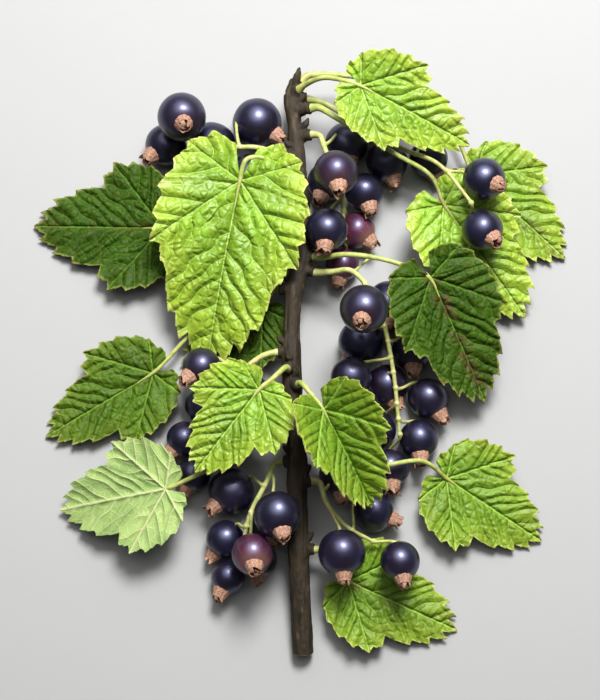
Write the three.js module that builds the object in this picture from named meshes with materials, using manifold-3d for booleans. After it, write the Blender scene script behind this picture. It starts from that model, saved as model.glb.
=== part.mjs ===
// A cut blackcurrant sprig lying on a surface: a woody cane with short spurs, toothed leaves on their
// stalks, and strigs, which are the hanging strings of berries. Millimetres, +Z up, the cane along Y.

import * as THREE from "three";
import { mergeVertices } from "three/addons/utils/BufferGeometryUtils.js";
import Module from "manifold-3d";

const wasm = await Module();
wasm.setup();

// The point of the layout that lies under the middle of the finished sprig.
const SPRIG_CENTRE = { x: -2.32, y: -3.72 };

// Cane: points from the cut end to the tip, with its radius falling along the way.
const CANE_POINTS = [
  [-1.5, -79, 2.5],
  [-2.5, -58, 6.6],
  [-3.2, -30, 10.5],
  [-4.4, -6, 11.5],
  [-4.0, 10, 11.5],
  [-1.5, 24, 11.5],
  [-2.5, 42, 11.0],
  [-4.5, 64, 10.0],
];
const CANE_RADIUS = { cut: 2.75, tip: 1.7 };
const CANE_SIDES = 9;
const CANE_STEPS = 16;
const CANE_SAMPLES = 200;
const SPUR_RADIUS = { root: 1.7, end: 1.3 };
const SPUR_SIDES = 6;
const STALK_GAP = 0.4;
const STALK_STRAIGHT = 1.6;
const BUD = { length: 5.0, radius: 1.5, bands: 6 };

// Leaf blade: lobes by angle from the midrib and length as a share of the blade's, then its teeth.
const LOBES = [
  { angle: 0, reach: 1.0 },
  { angle: 58, reach: 0.74 },
  { angle: 106, reach: 0.32 },
];
const LOBE_SHAPE = { spread: 30, power: 1.3, least: 0.03 };
const RIPPLES = 5;
const TOOTH_ANGLES = [0, 8, 17, 28, 47, 58, 69, 80, 94, 106, 126];
const BASE_ANGLE = 152;
const TOOTH_DEPTH = 0.045;
const NOTCH_SHARE = 0.62;
const INNER_RING = 0.52;
const BLADE_THICKNESS = 0.75;
const LEAF_STALK = { root: 0.95, end: 0.7, sunk: 0.08 };
const LEAF_STALK_SIDES = 5;
const LEAF_STALK_STEPS = 7;

// Strig: its stalk, its side stalks and its berries, each ending in the dried flower.
const STRIG_STALK = { root: 0.95, end: 0.6 };
const STRIG_STALK_SIDES = 6;
const STRIG_STALK_STEPS = 8;
const SIDE_STALK_RADIUS = 0.5;
const SIDE_STALK_BOW = 2.2;
const SIDE_STALK_SUNK = 0.8;
const SIDE_STALK_SIDES = 3;
const SIDE_STALK_STEPS = 2;
const FIRST_BERRY_SHARE = 0.2;
const GOLDEN_ANGLE = 2.39996;
const SIDE_STALK_SPLAY = { first: 1.25, last: 0.35, varies: 0.3 };
const SIDE_STALK_SPIN = 0.8;
const SIDE_STALK_REACH = { first: 1.2, last: 0.8 };
const BERRY_VARIES = 0.14;
const BERRY_LEAN = { downSprig: 0.8, up: 0.75, outward: 0.6, sway: 0.9 };
const BERRY_SIDES = 8;
const BERRY_BANDS = 6;
const BERRY_GAP = 0.5;
const BERRY_SINK = 0.55;
const CALYX = { root: 2.3, end: 1.35, length: 2.9, hollow: 0.5 };

// How berries come to rest: rounds of moving, the fall in a round, and how firmly each push acts.
// The last rounds have no fall and no pull, only pushes.
const SETTLE = { rounds: 200, calm: 60, fall: 0.2, push: 0.4, tether: 0.5 };
const BLADE_CLEARANCE = 1.2;
const BLADE_SPOT_RINGS = [0.25, 0.5, 0.75, 1];
const ROD_SAMPLES = 24;
const AXIS_TRIES = 14;
const CALYX_ROOM = 2.2;

const SURFACE = { width: 400, depth: 40 };
const COLOURS = { bark: 0x5d4a3a, leaf: 0x6f9a2c, berry: 0x1d1b2e };

// Where each leaf's blade begins, its size and how deep its lobes are cut, then which way it goes and how
// it lies. Angles in degrees.
const LEAVES = {
  leaf_upper_left: {
    stalk: [[-5.4, 42, 13.5], [-10.5, 45, 18.2], [-15.8, 44.6, 19.2]],
    base: [-17.5, 39.5, 18],
    length: 47, width: 0.62, cut: 0.17,
    heading: -102, pitch: -4, droop: 26, fold: 8, roll: 5, wave: 1.0, phase: 0.4,
  },
  leaf_small_front: {
    stalk: [[-5.6, -8, 15.2], [-9, -11, 19]],
    base: [-12.5, -14, 20],
    length: 25, width: 0.82, cut: 0.25,
    heading: -128, pitch: 4, droop: 24, fold: 12, roll: 0, wave: 0.7, phase: 2.0,
  },
  leaf_folded_front: {
    stalk: [[-2.6, -12, 15.2], [0, -14.5, 19]],
    base: [3.5, -19, 19.5],
    length: 26, width: 0.6, cut: 0.2,
    heading: -62, pitch: 0, droop: 24, fold: 52, roll: -6, wave: 0.7, phase: 1.1,
  },
  leaf_upper_right: {
    stalk: [[0.6, 60, 12], [9, 55, 16], [22, 47, 15.5], [31.5, 41.5, 13]],
    base: [34.5, 34.5, 12],
    length: 35, width: 0.62, cut: 0.22,
    heading: -52, pitch: -8, droop: 14, fold: 10, roll: -4, wave: 0.8, phase: 0.7,
  },
  leaf_right: {
    stalk: [[1.2, 21, 12.5], [10, 20.5, 17.5], [20, 18.5, 19.5]],
    base: [30.5, 14.5, 18.2],
    length: 34, width: 0.64, cut: 0.2,
    heading: -64, pitch: -12, droop: 14, fold: 10, roll: -4, wave: 0.9, phase: 3.0,
  },
  leaf_top_right: {
    stalk: [[-2.4, 65, 12.5], [4, 66, 19]],
    base: [13, 63, 22],
    length: 31, width: 0.6, cut: 0.25,
    heading: -27, pitch: -2, droop: 24, fold: 10, roll: 5, wave: 0.7, phase: 0.9,
  },
  leaf_far_right: {
    stalk: [[-2.0, 67.5, 10.5], [18, 68, 9], [36, 58, 6]],
    base: [43, 44, 4.6],
    length: 31, width: 0.72, cut: 0.25,
    heading: -42, pitch: -3, droop: 8, fold: 6, roll: 0, wave: 0.8, phase: 2.6,
  },
  leaf_behind_left: {
    stalk: [[-7.4, 13, 10]],
    base: [-12, 9, 5.4],
    length: 26, width: 0.72, cut: 0.25,
    heading: -140, pitch: -7, droop: 6, fold: 4, roll: 0, wave: 0.6, phase: 1.7,
  },
  leaf_left: {
    stalk: [[-5.2, 22, 10.5], [-21, 14, 8.2], [-30, 3, 5.2]],
    base: [-40, -8, 4.7],
    length: 31, width: 0.66, cut: 0.25,
    heading: -150, pitch: -4, droop: 6, fold: 8, roll: 0, wave: 0.8, phase: 0.2,
  },
  leaf_far_left: {
    stalk: [[-4.9, 36, 10], [-20, 33, 7]],
    base: [-38, 30, 4.7],
    length: 33, width: 0.78, cut: 0.25,
    heading: 178, pitch: -4, droop: 6, fold: 6, roll: 0, wave: 0.8, phase: 2.2,
  },
  leaf_lower_left: {
    stalk: [[-6.2, -22, 11], [-19, -30, 13], [-29, -35, 12]],
    base: [-36, -38, 10],
    length: 28, width: 0.78, cut: 0.25,
    heading: 190, pitch: -10, droop: 12, fold: 8, roll: 0, wave: 0.7, phase: 3.4,
  },
  leaf_bottom: {
    stalk: [[1.4, -53, 8]],
    base: [10, -61, 4.6],
    length: 29, width: 0.75, cut: 0.25,
    heading: -24, pitch: -4, droop: 8, fold: 6, roll: 0, wave: 0.7, phase: 1.3,
  },
  leaf_lower_right: {
    stalk: [[-0.2, -22, 11], [14, -32, 12.5], [28.5, -31, 10]],
    base: [35, -35, 4.7],
    length: 28, width: 0.78, cut: 0.25,
    heading: -33, pitch: -4, droop: 8, fold: 8, roll: 0, wave: 0.7, phase: 0.6,
  },
};

// Where each strig's stalk runs, how many berries it bears and how large they are from first to last.
const STRIGS = {
  strig_upper_left: {
    path: [[-6.6, 47.5, 12], [-13, 49, 14], [-24, 48.5, 12.5], [-33.5, 44.5, 9]],
    berries: 5, bare: 0, diameter: [13.0, 11.5], reach: 5.0, seed: 3,
  },
  strig_top_centre: {
    path: [[0.6, 53, 12], [4.5, 47, 16], [8, 38, 15], [9, 26, 11]],
    berries: 8, bare: 0, diameter: [11.5, 9.0], reach: 5.5, seed: 11,
  },
  strig_upper_right: {
    path: [[-0.4, 63, 10], [10, 58, 10.5], [23, 50, 11], [33, 43.5, 18], [40.5, 33, 21.5]],
    berries: 5, bare: 0, diameter: [11.0, 10.5], reach: 4.5, seed: 23,
  },
  strig_middle_right: {
    path: [[1.4, 17, 12], [11, 16.5, 16], [17.5, 7, 15], [21, -7, 12], [23, -24, 8]],
    berries: 10, bare: 2, diameter: [12.0, 9.5], reach: 5.5, seed: 5,
  },
  strig_middle_left: {
    path: [[-8.0, -3.5, 11.5], [-15, -7, 14], [-22, -16, 12], [-28, -28, 9]],
    berries: 6, bare: 0, diameter: [11.0, 9.0], reach: 5.0, seed: 17,
  },
  strig_lower_left: {
    path: [[-6.6, -31, 10], [-11, -37, 13], [-15, -45, 12], [-17, -54, 8.5]],
    berries: 7, bare: 0, diameter: [11.5, 8.5], reach: 5.0, seed: 29,
  },
  strig_lower_right: {
    path: [[0.6, -36, 9.5], [4.5, -42, 12], [9.5, -47.5, 11], [16, -51, 8.5]],
    berries: 4, bare: 0, diameter: [11.7, 10.5], reach: 4.5, seed: 41,
  },
};

const UP = new THREE.Vector3(0, 0, 1);
const radians = THREE.MathUtils.degToRad;
const mix = THREE.MathUtils.lerp;
const point = (xyz) => new THREE.Vector3(...xyz);
const curveThrough = (points) => new THREE.CatmullRomCurve3(points.map(point));

// A repeatable stream of numbers from 0 to 1.
function seededRandom(seed) {
  let state = seed;
  return () => {
    state = (Math.imul(state, 1664525) + 1013904223) >>> 0;
    return state / 2 ** 32;
  };
}

function solidOf(geometry) {
  const bare = geometry.clone();
  bare.deleteAttribute("normal");
  bare.deleteAttribute("uv");
  const merged = mergeVertices(bare, 1e-4);
  return new wasm.Manifold(
    new wasm.Mesh({
      numProp: 3,
      vertProperties: new Float32Array(merged.attributes.position.array),
      triVerts: new Uint32Array(merged.index.array),
    }),
  );
}

function geometryOf(solid) {
  const mesh = solid.getMesh();
  const geometry = new THREE.BufferGeometry();
  geometry.setAttribute("position", new THREE.BufferAttribute(mesh.vertProperties, 3));
  geometry.setIndex(new THREE.BufferAttribute(mesh.triVerts, 1));
  geometry.computeVertexNormals();
  return geometry;
}

// Joins the pieces of one node and trims them flat where they meet the surface below.
const belowSurface = solidOf(
  new THREE.BoxGeometry(SURFACE.width, SURFACE.width, SURFACE.depth).translate(0, 0, -SURFACE.depth / 2),
);
function grownTogether(geometries) {
  const fused = geometries.map(solidOf).reduce((whole, piece) => whole.add(piece));
  return geometryOf(fused.subtract(belowSurface));
}

// A closed round rod along a curve, its radius running from one end's to the other's.
function taperedRod(curve, radius, sides, steps) {
  const rod = new THREE.CylinderGeometry(1, 1, 1, sides, steps);
  const frames = curve.computeFrenetFrames(steps);
  const places = rod.attributes.position;
  for (let i = 0; i < places.count; i++) {
    const share = 0.5 - places.getY(i);
    const step = Math.round(share * steps);
    const across = frames.normals[step].clone().multiplyScalar(places.getX(i));
    across.addScaledVector(frames.binormals[step], places.getZ(i));
    across.multiplyScalar(mix(radius.root, radius.end, share));
    const spot = curve.getPointAt(share).add(across);
    places.setXYZ(i, spot.x, spot.y, spot.z);
  }
  return rod;
}

// Cane with its spurs and end bud.
const caneCurve = curveThrough(CANE_POINTS);

// The point of the cane's middle line that lies nearest to a place.
function nearestOnCane(place) {
  let best = { distance: Infinity };
  for (let i = 0; i <= CANE_SAMPLES; i++) {
    const spot = caneCurve.getPointAt(i / CANE_SAMPLES);
    const distance = spot.distanceTo(place);
    if (distance < best.distance) best = { distance, spot };
  }
  return best.spot;
}

// A short spur from the cane's heart to just short of the stalk that grows from it.
function spurTo(stalkStart) {
  const start = point(stalkStart);
  const root = nearestOnCane(start);
  const way = start.clone().sub(root);
  const end = root.clone().add(way.setLength(way.length() - STALK_GAP));
  return taperedRod(new THREE.LineCurve3(root, end), SPUR_RADIUS, SPUR_SIDES, 1);
}

// A stalk leaves its spur straight ahead before it bends.
function stalkThrough(points) {
  const start = point(points[0]);
  const ahead = start.clone().sub(nearestOnCane(start)).setLength(STALK_STRAIGHT);
  return curveThrough([points[0], start.add(ahead).toArray(), ...points.slice(1)]);
}

function caneGeometry() {
  const cane = taperedRod(
    caneCurve,
    { root: CANE_RADIUS.cut, end: CANE_RADIUS.tip },
    CANE_SIDES,
    CANE_STEPS,
  );
  const bud = new THREE.SphereGeometry(1, CANE_SIDES, BUD.bands);
  bud.scale(BUD.radius, BUD.length, BUD.radius);
  bud.translate(...CANE_POINTS.at(-1));
  const spurs = [...Object.values(LEAVES).map((leaf) => leaf.stalk[0]),
    ...Object.values(STRIGS).map((strig) => strig.path[0])].map(spurTo);
  return grownTogether([cane, bud, ...spurs]);
}

// Leaf: the smooth reach of a unit blade at an angle from its midrib, by how deep its lobes are cut.
function lobedReach(degrees, cut) {
  const off = Math.abs(degrees);
  const reaches = LOBES.map(({ angle, reach }) => {
    const away = Math.abs(off - angle) / LOBE_SHAPE.spread;
    return reach * (1 - cut * away ** LOBE_SHAPE.power);
  });
  return Math.max(...reaches, LOBE_SHAPE.least);
}

// The rim of a unit blade from one side of the stalk round to the other: tooth, notch, tooth and so on.
function bladeRim(cut) {
  const half = [];
  TOOTH_ANGLES.forEach((angle, i) => {
    const next = TOOTH_ANGLES[i + 1] ?? BASE_ANGLE;
    const notch = mix(angle, next, NOTCH_SHARE);
    half.push({ angle, reach: lobedReach(angle, cut) * (1 + TOOTH_DEPTH) });
    half.push({ angle: notch, reach: lobedReach(notch, cut) * (1 - TOOTH_DEPTH) });
  });
  half.push({ angle: BASE_ANGLE, reach: lobedReach(BASE_ANGLE, cut) });
  const mirrored = half.slice(1).map(({ angle, reach }) => ({ angle: -angle, reach }));
  return [...mirrored.reverse(), ...half];
}

// A place on a leaf: along and across its midrib, and above its middle sheet.
function leafPlace(leaf, angle, reach, above) {
  const turn = radians(angle);
  const along = leaf.length * reach * Math.cos(turn);
  const across = leaf.width * leaf.length * reach * Math.sin(turn);
  const ripple = leaf.wave * reach * reach * Math.sin(RIPPLES * turn + leaf.phase);
  const lift = Math.tan(radians(leaf.fold)) * Math.abs(across) + ripple + above;
  const bend = radians(leaf.droop) / leaf.length;
  const bent = bend * along;
  const place = new THREE.Vector3(
    Math.sin(bent) / bend + lift * Math.sin(bent),
    across,
    (Math.cos(bent) - 1) / bend + lift * Math.cos(bent),
  );
  const lie = new THREE.Euler(radians(leaf.roll), -radians(leaf.pitch), radians(leaf.heading), "ZYX");
  return place.applyEuler(lie).add(point(leaf.base));
}

// A blade is split alike on both faces: a fan from its base to a ring of places below the teeth, and from
// there three triangles to each tooth and notch of the rim.
function bladeGeometry(leaf) {
  const rim = bladeRim(leaf.cut);
  const teeth = rim.filter((_, i) => i % 2 === 0);
  const inner = teeth.map(({ angle, reach }) => ({ angle, reach: reach * INNER_RING }));
  const outline = [{ angle: 0, reach: 0 }, ...inner, ...rim];
  const sheet = (above) => outline.map(({ angle, reach }) => leafPlace(leaf, angle, reach, above));
  const places = [...sheet(BLADE_THICKNESS / 2), ...sheet(-BLADE_THICKNESS / 2)];
  const under = outline.length;
  const faces = [];
  const bothFaces = (a, b, c) => faces.push(a, b, c, under + a, under + c, under + b);
  const inward = (i) => 1 + i;
  const outward = (i) => 1 + inner.length + i;
  for (let i = 0; i + 1 < inner.length; i++) {
    const [tooth, notch, next] = [outward(2 * i), outward(2 * i + 1), outward(2 * i + 2)];
    bothFaces(0, inward(i), inward(i + 1));
    bothFaces(inward(i), tooth, notch);
    bothFaces(inward(i), notch, inward(i + 1));
    bothFaces(inward(i + 1), notch, next);
  }
  const edge = [0, inward(0), ...rim.map((_, i) => outward(i)), inward(inner.length - 1)];
  edge.forEach((from, i) => {
    const to = edge[(i + 1) % edge.length];
    faces.push(from, under + from, under + to, from, under + to, to);
  });
  return new THREE.BufferGeometry().setFromPoints(places).setIndex(faces);
}

// A leaf's stalk runs into the underside of its blade.
function leafStalkCurve(leaf) {
  const sunk = leafPlace(leaf, 0, LEAF_STALK.sunk, -BLADE_THICKNESS / 2);
  return stalkThrough([...leaf.stalk, leaf.base, sunk.toArray()]);
}

function leafGeometry(leaf) {
  const rod = taperedRod(leafStalkCurve(leaf), LEAF_STALK, LEAF_STALK_SIDES, LEAF_STALK_STEPS);
  return grownTogether([bladeGeometry(leaf), rod]);
}

// Strigs: round spots that berries keep clear of, along every rod and over every leaf blade.
function spotsAlong(curve, radius) {
  const shares = Array.from({ length: ROD_SAMPLES + 1 }, (_, i) => i / ROD_SAMPLES);
  return shares.map((share) => ({
    centre: curve.getPointAt(share),
    radius: mix(radius.root, radius.end, share),
  }));
}

function spotsOver(leaf) {
  return BLADE_SPOT_RINGS.flatMap((ring) =>
    bladeRim(leaf.cut).map(({ angle, reach }) => ({
      centre: leafPlace(leaf, angle, reach * ring, 0),
      radius: BLADE_CLEARANCE,
    })),
  );
}

function spotsToClear() {
  const leaves = Object.values(LEAVES);
  return [
    ...spotsAlong(caneCurve, { root: CANE_RADIUS.cut, end: CANE_RADIUS.tip }),
    ...Object.values(STRIGS).flatMap((strig) => spotsAlong(stalkThrough(strig.path), STRIG_STALK)),
    ...leaves.flatMap((leaf) => spotsAlong(leafStalkCurve(leaf), LEAF_STALK)),
    ...leaves.flatMap(spotsOver),
  ];
}

// A strig's side stalks stand round it in a spiral, shorter and closer to its line towards the tip.
function sideStalksOf(strig) {
  const random = seededRandom(strig.seed);
  const stalk = stalkThrough(strig.path);
  const count = strig.bare + strig.berries;
  return Array.from({ length: count }, (_, i) => {
    const order = i / (count - 1);
    const share = mix(FIRST_BERRY_SHARE, 1, order);
    const node = stalk.getPointAt(share);
    const ahead = stalk.getTangentAt(share);
    const level = new THREE.Vector3().crossVectors(UP, ahead).normalize();
    const round = i * GOLDEN_ANGLE + SIDE_STALK_SPIN * (random() - 0.5);
    const { first, last, varies } = SIDE_STALK_SPLAY;
    const splay = mix(first, last, order * order) + varies * (random() - 0.5);
    const away = ahead.clone().multiplyScalar(Math.cos(splay));
    away.addScaledVector(level, Math.cos(round) * Math.sin(splay));
    away.addScaledVector(UP, Math.sin(round) * Math.sin(splay));
    const radius = 0.5 * mix(...strig.diameter, order) * (1 + BERRY_VARIES * (random() - 0.5));
    const length = strig.reach * mix(SIDE_STALK_REACH.first, SIDE_STALK_REACH.last, order);
    const sways = Array.from({ length: AXIS_TRIES }, () =>
      new THREE.Vector3(random() - 0.5, random() - 0.5, random() - 0.5));
    const floor = radius - BERRY_SINK;
    const centre = node.clone().addScaledVector(away, length + radius);
    return { node, away, radius, length, sways, floor, centre, bare: i < strig.bare };
  });
}

// The push that moves a ball out of a spot, nothing where they are apart.
function pushOut(ball, spot) {
  const way = ball.centre.clone().sub(spot.centre);
  const inside = ball.radius + spot.radius + BERRY_GAP - way.length();
  return inside > 0 ? way.setLength(inside) : null;
}

// All berries fall together on their side stalks until the surface, the spots and each other hold them.
function settle(berries, spots) {
  for (let round = 0; round < SETTLE.rounds; round++) {
    const falling = round < SETTLE.rounds - SETTLE.calm;
    const moves = berries.map((berry) => {
      const move = new THREE.Vector3();
      if (falling) {
        move.z -= SETTLE.fall;
        const line = berry.node.clone().sub(berry.centre);
        const slack = line.length() - berry.length - berry.radius;
        if (slack > 0) move.add(line.setLength(slack * SETTLE.tether));
      }
      for (const other of [...spots, ...berries]) {
        const push = other === berry ? null : pushOut(berry, other);
        if (push) move.addScaledVector(push, SETTLE.push);
      }
      return move;
    });
    berries.forEach((berry, i) => {
      berry.centre.add(moves[i]);
      berry.centre.z = Math.max(berry.centre.z, berry.floor);
    });
  }
}

// A berry points away from its side stalk, down the sprig and upwards, its flower end where there is room.
function pointBerry(berry, berries, spots) {
  const others = [...spots, ...berries.filter((other) => other !== berry)];
  const lean = new THREE.Vector3(0, -BERRY_LEAN.downSprig, BERRY_LEAN.up);
  const outward = berry.centre.clone().sub(berry.node).normalize();
  lean.addScaledVector(outward, BERRY_LEAN.outward);
  const choices = berry.sways.map((sway) => {
    const axis = lean.clone().addScaledVector(sway, BERRY_LEAN.sway).normalize();
    const tip = berry.centre.clone().addScaledVector(axis, berry.radius + CALYX.length);
    const gaps = others.map((other) => other.centre.distanceTo(tip) - other.radius);
    const stalkRise = berry.centre.z - (berry.radius + SIDE_STALK_BOW) * axis.z;
    return { axis, room: Math.min(CALYX_ROOM, tip.z, stalkRise, ...gaps) };
  });
  berry.axis = choices.reduce((best, choice) => (choice.room > best.room ? choice : best)).axis;
  berry.end = berry.centre.clone().addScaledVector(berry.axis, SIDE_STALK_SUNK - berry.radius);
}

function layOutStrigs() {
  const strigs = Object.entries(STRIGS).map(([name, strig]) => [name, sideStalksOf(strig)]);
  const berries = strigs.flatMap(([, stalks]) => stalks.filter((stalk) => !stalk.bare));
  const spots = spotsToClear();
  settle(berries, spots);
  for (const berry of berries) pointBerry(berry, berries, spots);
  return Object.fromEntries(strigs);
}

function sideStalkGeometry({ node, away, length, end, axis, bare }) {
  const out = node.clone().addScaledVector(away, bare ? length : SIDE_STALK_BOW);
  const curve = bare
    ? new THREE.LineCurve3(node, out)
    : new THREE.CubicBezierCurve3(node, out, end.clone().addScaledVector(axis, -SIDE_STALK_BOW), end);
  const radius = { root: SIDE_STALK_RADIUS, end: SIDE_STALK_RADIUS };
  return taperedRod(curve, radius, SIDE_STALK_SIDES, SIDE_STALK_STEPS);
}

// A berry and its dried flower, turned upright in one profile and then laid along the berry's axis.
function berryGeometry({ centre, radius, axis }) {
  const profile = [new THREE.Vector2(0, -radius)];
  for (let band = 1; band < BERRY_BANDS; band++) {
    const rise = Math.PI * (band / BERRY_BANDS - 0.5);
    profile.push(new THREE.Vector2(radius * Math.cos(rise), radius * Math.sin(rise)));
  }
  profile.push(
    new THREE.Vector2(CALYX.root, Math.sqrt(radius ** 2 - CALYX.root ** 2)),
    new THREE.Vector2(CALYX.end, radius + CALYX.length),
    new THREE.Vector2(0, radius + CALYX.length - CALYX.hollow),
  );
  const turn = new THREE.Quaternion().setFromUnitVectors(new THREE.Vector3(0, 1, 0), axis);
  const berry = new THREE.LatheGeometry(profile, BERRY_SIDES);
  return berry.applyQuaternion(turn).translate(centre.x, centre.y, centre.z);
}

function strigGeometry(strig, sideStalks) {
  const stalk = taperedRod(stalkThrough(strig.path), STRIG_STALK, STRIG_STALK_SIDES, STRIG_STALK_STEPS);
  const berries = sideStalks.filter((sideStalk) => !sideStalk.bare);
  return grownTogether([stalk, ...sideStalks.map(sideStalkGeometry), ...berries.map(berryGeometry)]);
}

// The sprig.
function named(name, geometry, colour, roughness) {
  const material = new THREE.MeshStandardMaterial({ color: colour, roughness, metalness: 0 });
  const mesh = new THREE.Mesh(geometry, material);
  mesh.name = name;
  return mesh;
}

const sprig = new THREE.Group();
sprig.add(named("woody_cane", caneGeometry(), COLOURS.bark, 0.85));
for (const [name, leaf] of Object.entries(LEAVES))
  sprig.add(named(name, leafGeometry(leaf), COLOURS.leaf, 0.6));
const layout = layOutStrigs();
for (const [name, strig] of Object.entries(STRIGS))
  sprig.add(named(name, strigGeometry(strig, layout[name]), COLOURS.berry, 0.3));
sprig.position.set(-SPRIG_CENTRE.x, -SPRIG_CENTRE.y, 0);

export default sprig;
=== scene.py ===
"""Blackcurrant sprig: a woody cane with toothed leaves and strigs, the hanging strings of berries.

The layout is in millimetres, seen from above with the cane along Y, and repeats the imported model's rule.
Meshes are in metres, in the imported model's frame.
"""

import math

import bmesh
import bpy
import numpy as np
from mathutils import Matrix, Vector, noise


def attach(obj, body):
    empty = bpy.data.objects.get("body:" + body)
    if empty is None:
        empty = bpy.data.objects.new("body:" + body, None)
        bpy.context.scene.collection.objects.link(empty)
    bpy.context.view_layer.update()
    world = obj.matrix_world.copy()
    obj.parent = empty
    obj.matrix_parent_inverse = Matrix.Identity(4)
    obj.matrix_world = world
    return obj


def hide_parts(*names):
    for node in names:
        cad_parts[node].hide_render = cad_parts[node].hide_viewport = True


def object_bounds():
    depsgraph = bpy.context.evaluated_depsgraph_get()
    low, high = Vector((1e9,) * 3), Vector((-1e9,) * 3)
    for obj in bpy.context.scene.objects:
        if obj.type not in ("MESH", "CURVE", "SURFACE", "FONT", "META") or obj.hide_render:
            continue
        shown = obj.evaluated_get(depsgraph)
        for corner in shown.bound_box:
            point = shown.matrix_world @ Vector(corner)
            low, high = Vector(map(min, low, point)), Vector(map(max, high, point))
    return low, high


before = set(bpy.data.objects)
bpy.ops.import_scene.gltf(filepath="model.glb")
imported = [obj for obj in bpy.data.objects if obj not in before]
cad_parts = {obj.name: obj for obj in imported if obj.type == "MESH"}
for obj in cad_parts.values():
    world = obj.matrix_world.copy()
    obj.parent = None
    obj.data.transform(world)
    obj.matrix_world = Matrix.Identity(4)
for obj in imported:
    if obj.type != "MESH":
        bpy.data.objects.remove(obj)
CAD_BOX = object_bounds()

bl_info = {
    "name": "Blackcurrant Sprig",
    "version": (1, 0, 0),
    "blender": (4, 5, 0),
    "location": "View3D > Sidebar > Sprig",
    "description": "Builds a cut blackcurrant sprig with its cane, leaves and strings of berries",
    "category": "Object",
}

MM = 0.001
BODY = "root"
UP = np.array([0.0, 0.0, 1.0])
SPRIG_CENTRE = np.array([-2.32, -3.72, 0.0])

# Cane.
CANE_POINTS = [
    (-1.5, -79, 2.5),
    (-2.5, -58, 6.6),
    (-3.2, -30, 10.5),
    (-4.4, -6, 11.5),
    (-4.0, 10, 11.5),
    (-1.5, 24, 11.5),
    (-2.5, 42, 11.0),
    (-4.5, 64, 10.0),
]
CANE_RADIUS = (2.75, 1.7)
SPUR_RADIUS = (1.7, 1.3)
STALK_GAP = 0.4
STALK_STRAIGHT = 1.6
CANE_SAMPLES = 200

# Leaf blade: lobes by angle from the midrib and reach, then its teeth.
LOBES = [(0, 1.0), (58, 0.74), (106, 0.32)]
LOBE_SPREAD, LOBE_POWER, LOBE_LEAST = 30, 1.3, 0.03
RIPPLES = 5
TOOTH_ANGLES = [0, 8, 17, 28, 47, 58, 69, 80, 94, 106, 126]
BASE_ANGLE = 152
TOOTH_DEPTH = 0.045
NOTCH_SHARE = 0.62
BLADE_THICKNESS = 0.75
LEAF_STALK_RADIUS = (0.95, 0.7)
LEAF_STALK_SUNK = 0.08

# Strig: its stalk, side stalks, berries and dried flowers.
STRIG_STALK_RADIUS = (0.95, 0.6)
SIDE_STALK_BOW = 2.2
SIDE_STALK_SUNK = 0.8
FIRST_BERRY_SHARE = 0.2
GOLDEN_ANGLE = 2.39996
SPLAY_FIRST, SPLAY_LAST, SPLAY_VARIES = 1.25, 0.35, 0.3
SIDE_STALK_SPIN = 0.8
REACH_FIRST, REACH_LAST = 1.2, 0.8
BERRY_VARIES = 0.14
LEAN_DOWN, LEAN_UP, LEAN_OUT, LEAN_SWAY = 0.8, 0.75, 0.6, 0.9
BERRY_GAP = 0.5
BERRY_SINK = 0.55
CALYX_ROOT, CALYX_LENGTH = 2.3, 2.9

# How berries come to rest.
SETTLE_ROUNDS, SETTLE_CALM = 200, 60
SETTLE_FALL, SETTLE_PUSH, SETTLE_TETHER = 0.2, 0.4, 0.5
BLADE_CLEARANCE = 1.2
BLADE_SPOT_RINGS = (0.25, 0.5, 0.75, 1.0)
ROD_SAMPLES = 24
AXIS_TRIES = 14
CALYX_ROOM = 2.2


def leaf(stalk, base, length, width, cut, heading, pitch, droop, fold, roll, wave, phase):
    """One leaf's layout: its stalk's points, its blade's base, size and lobes, and its lie in degrees."""
    return dict(stalk=stalk, base=base, length=length, width=width, cut=cut, heading=heading, pitch=pitch,
                droop=droop, fold=fold, roll=roll, wave=wave, phase=phase)


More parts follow.
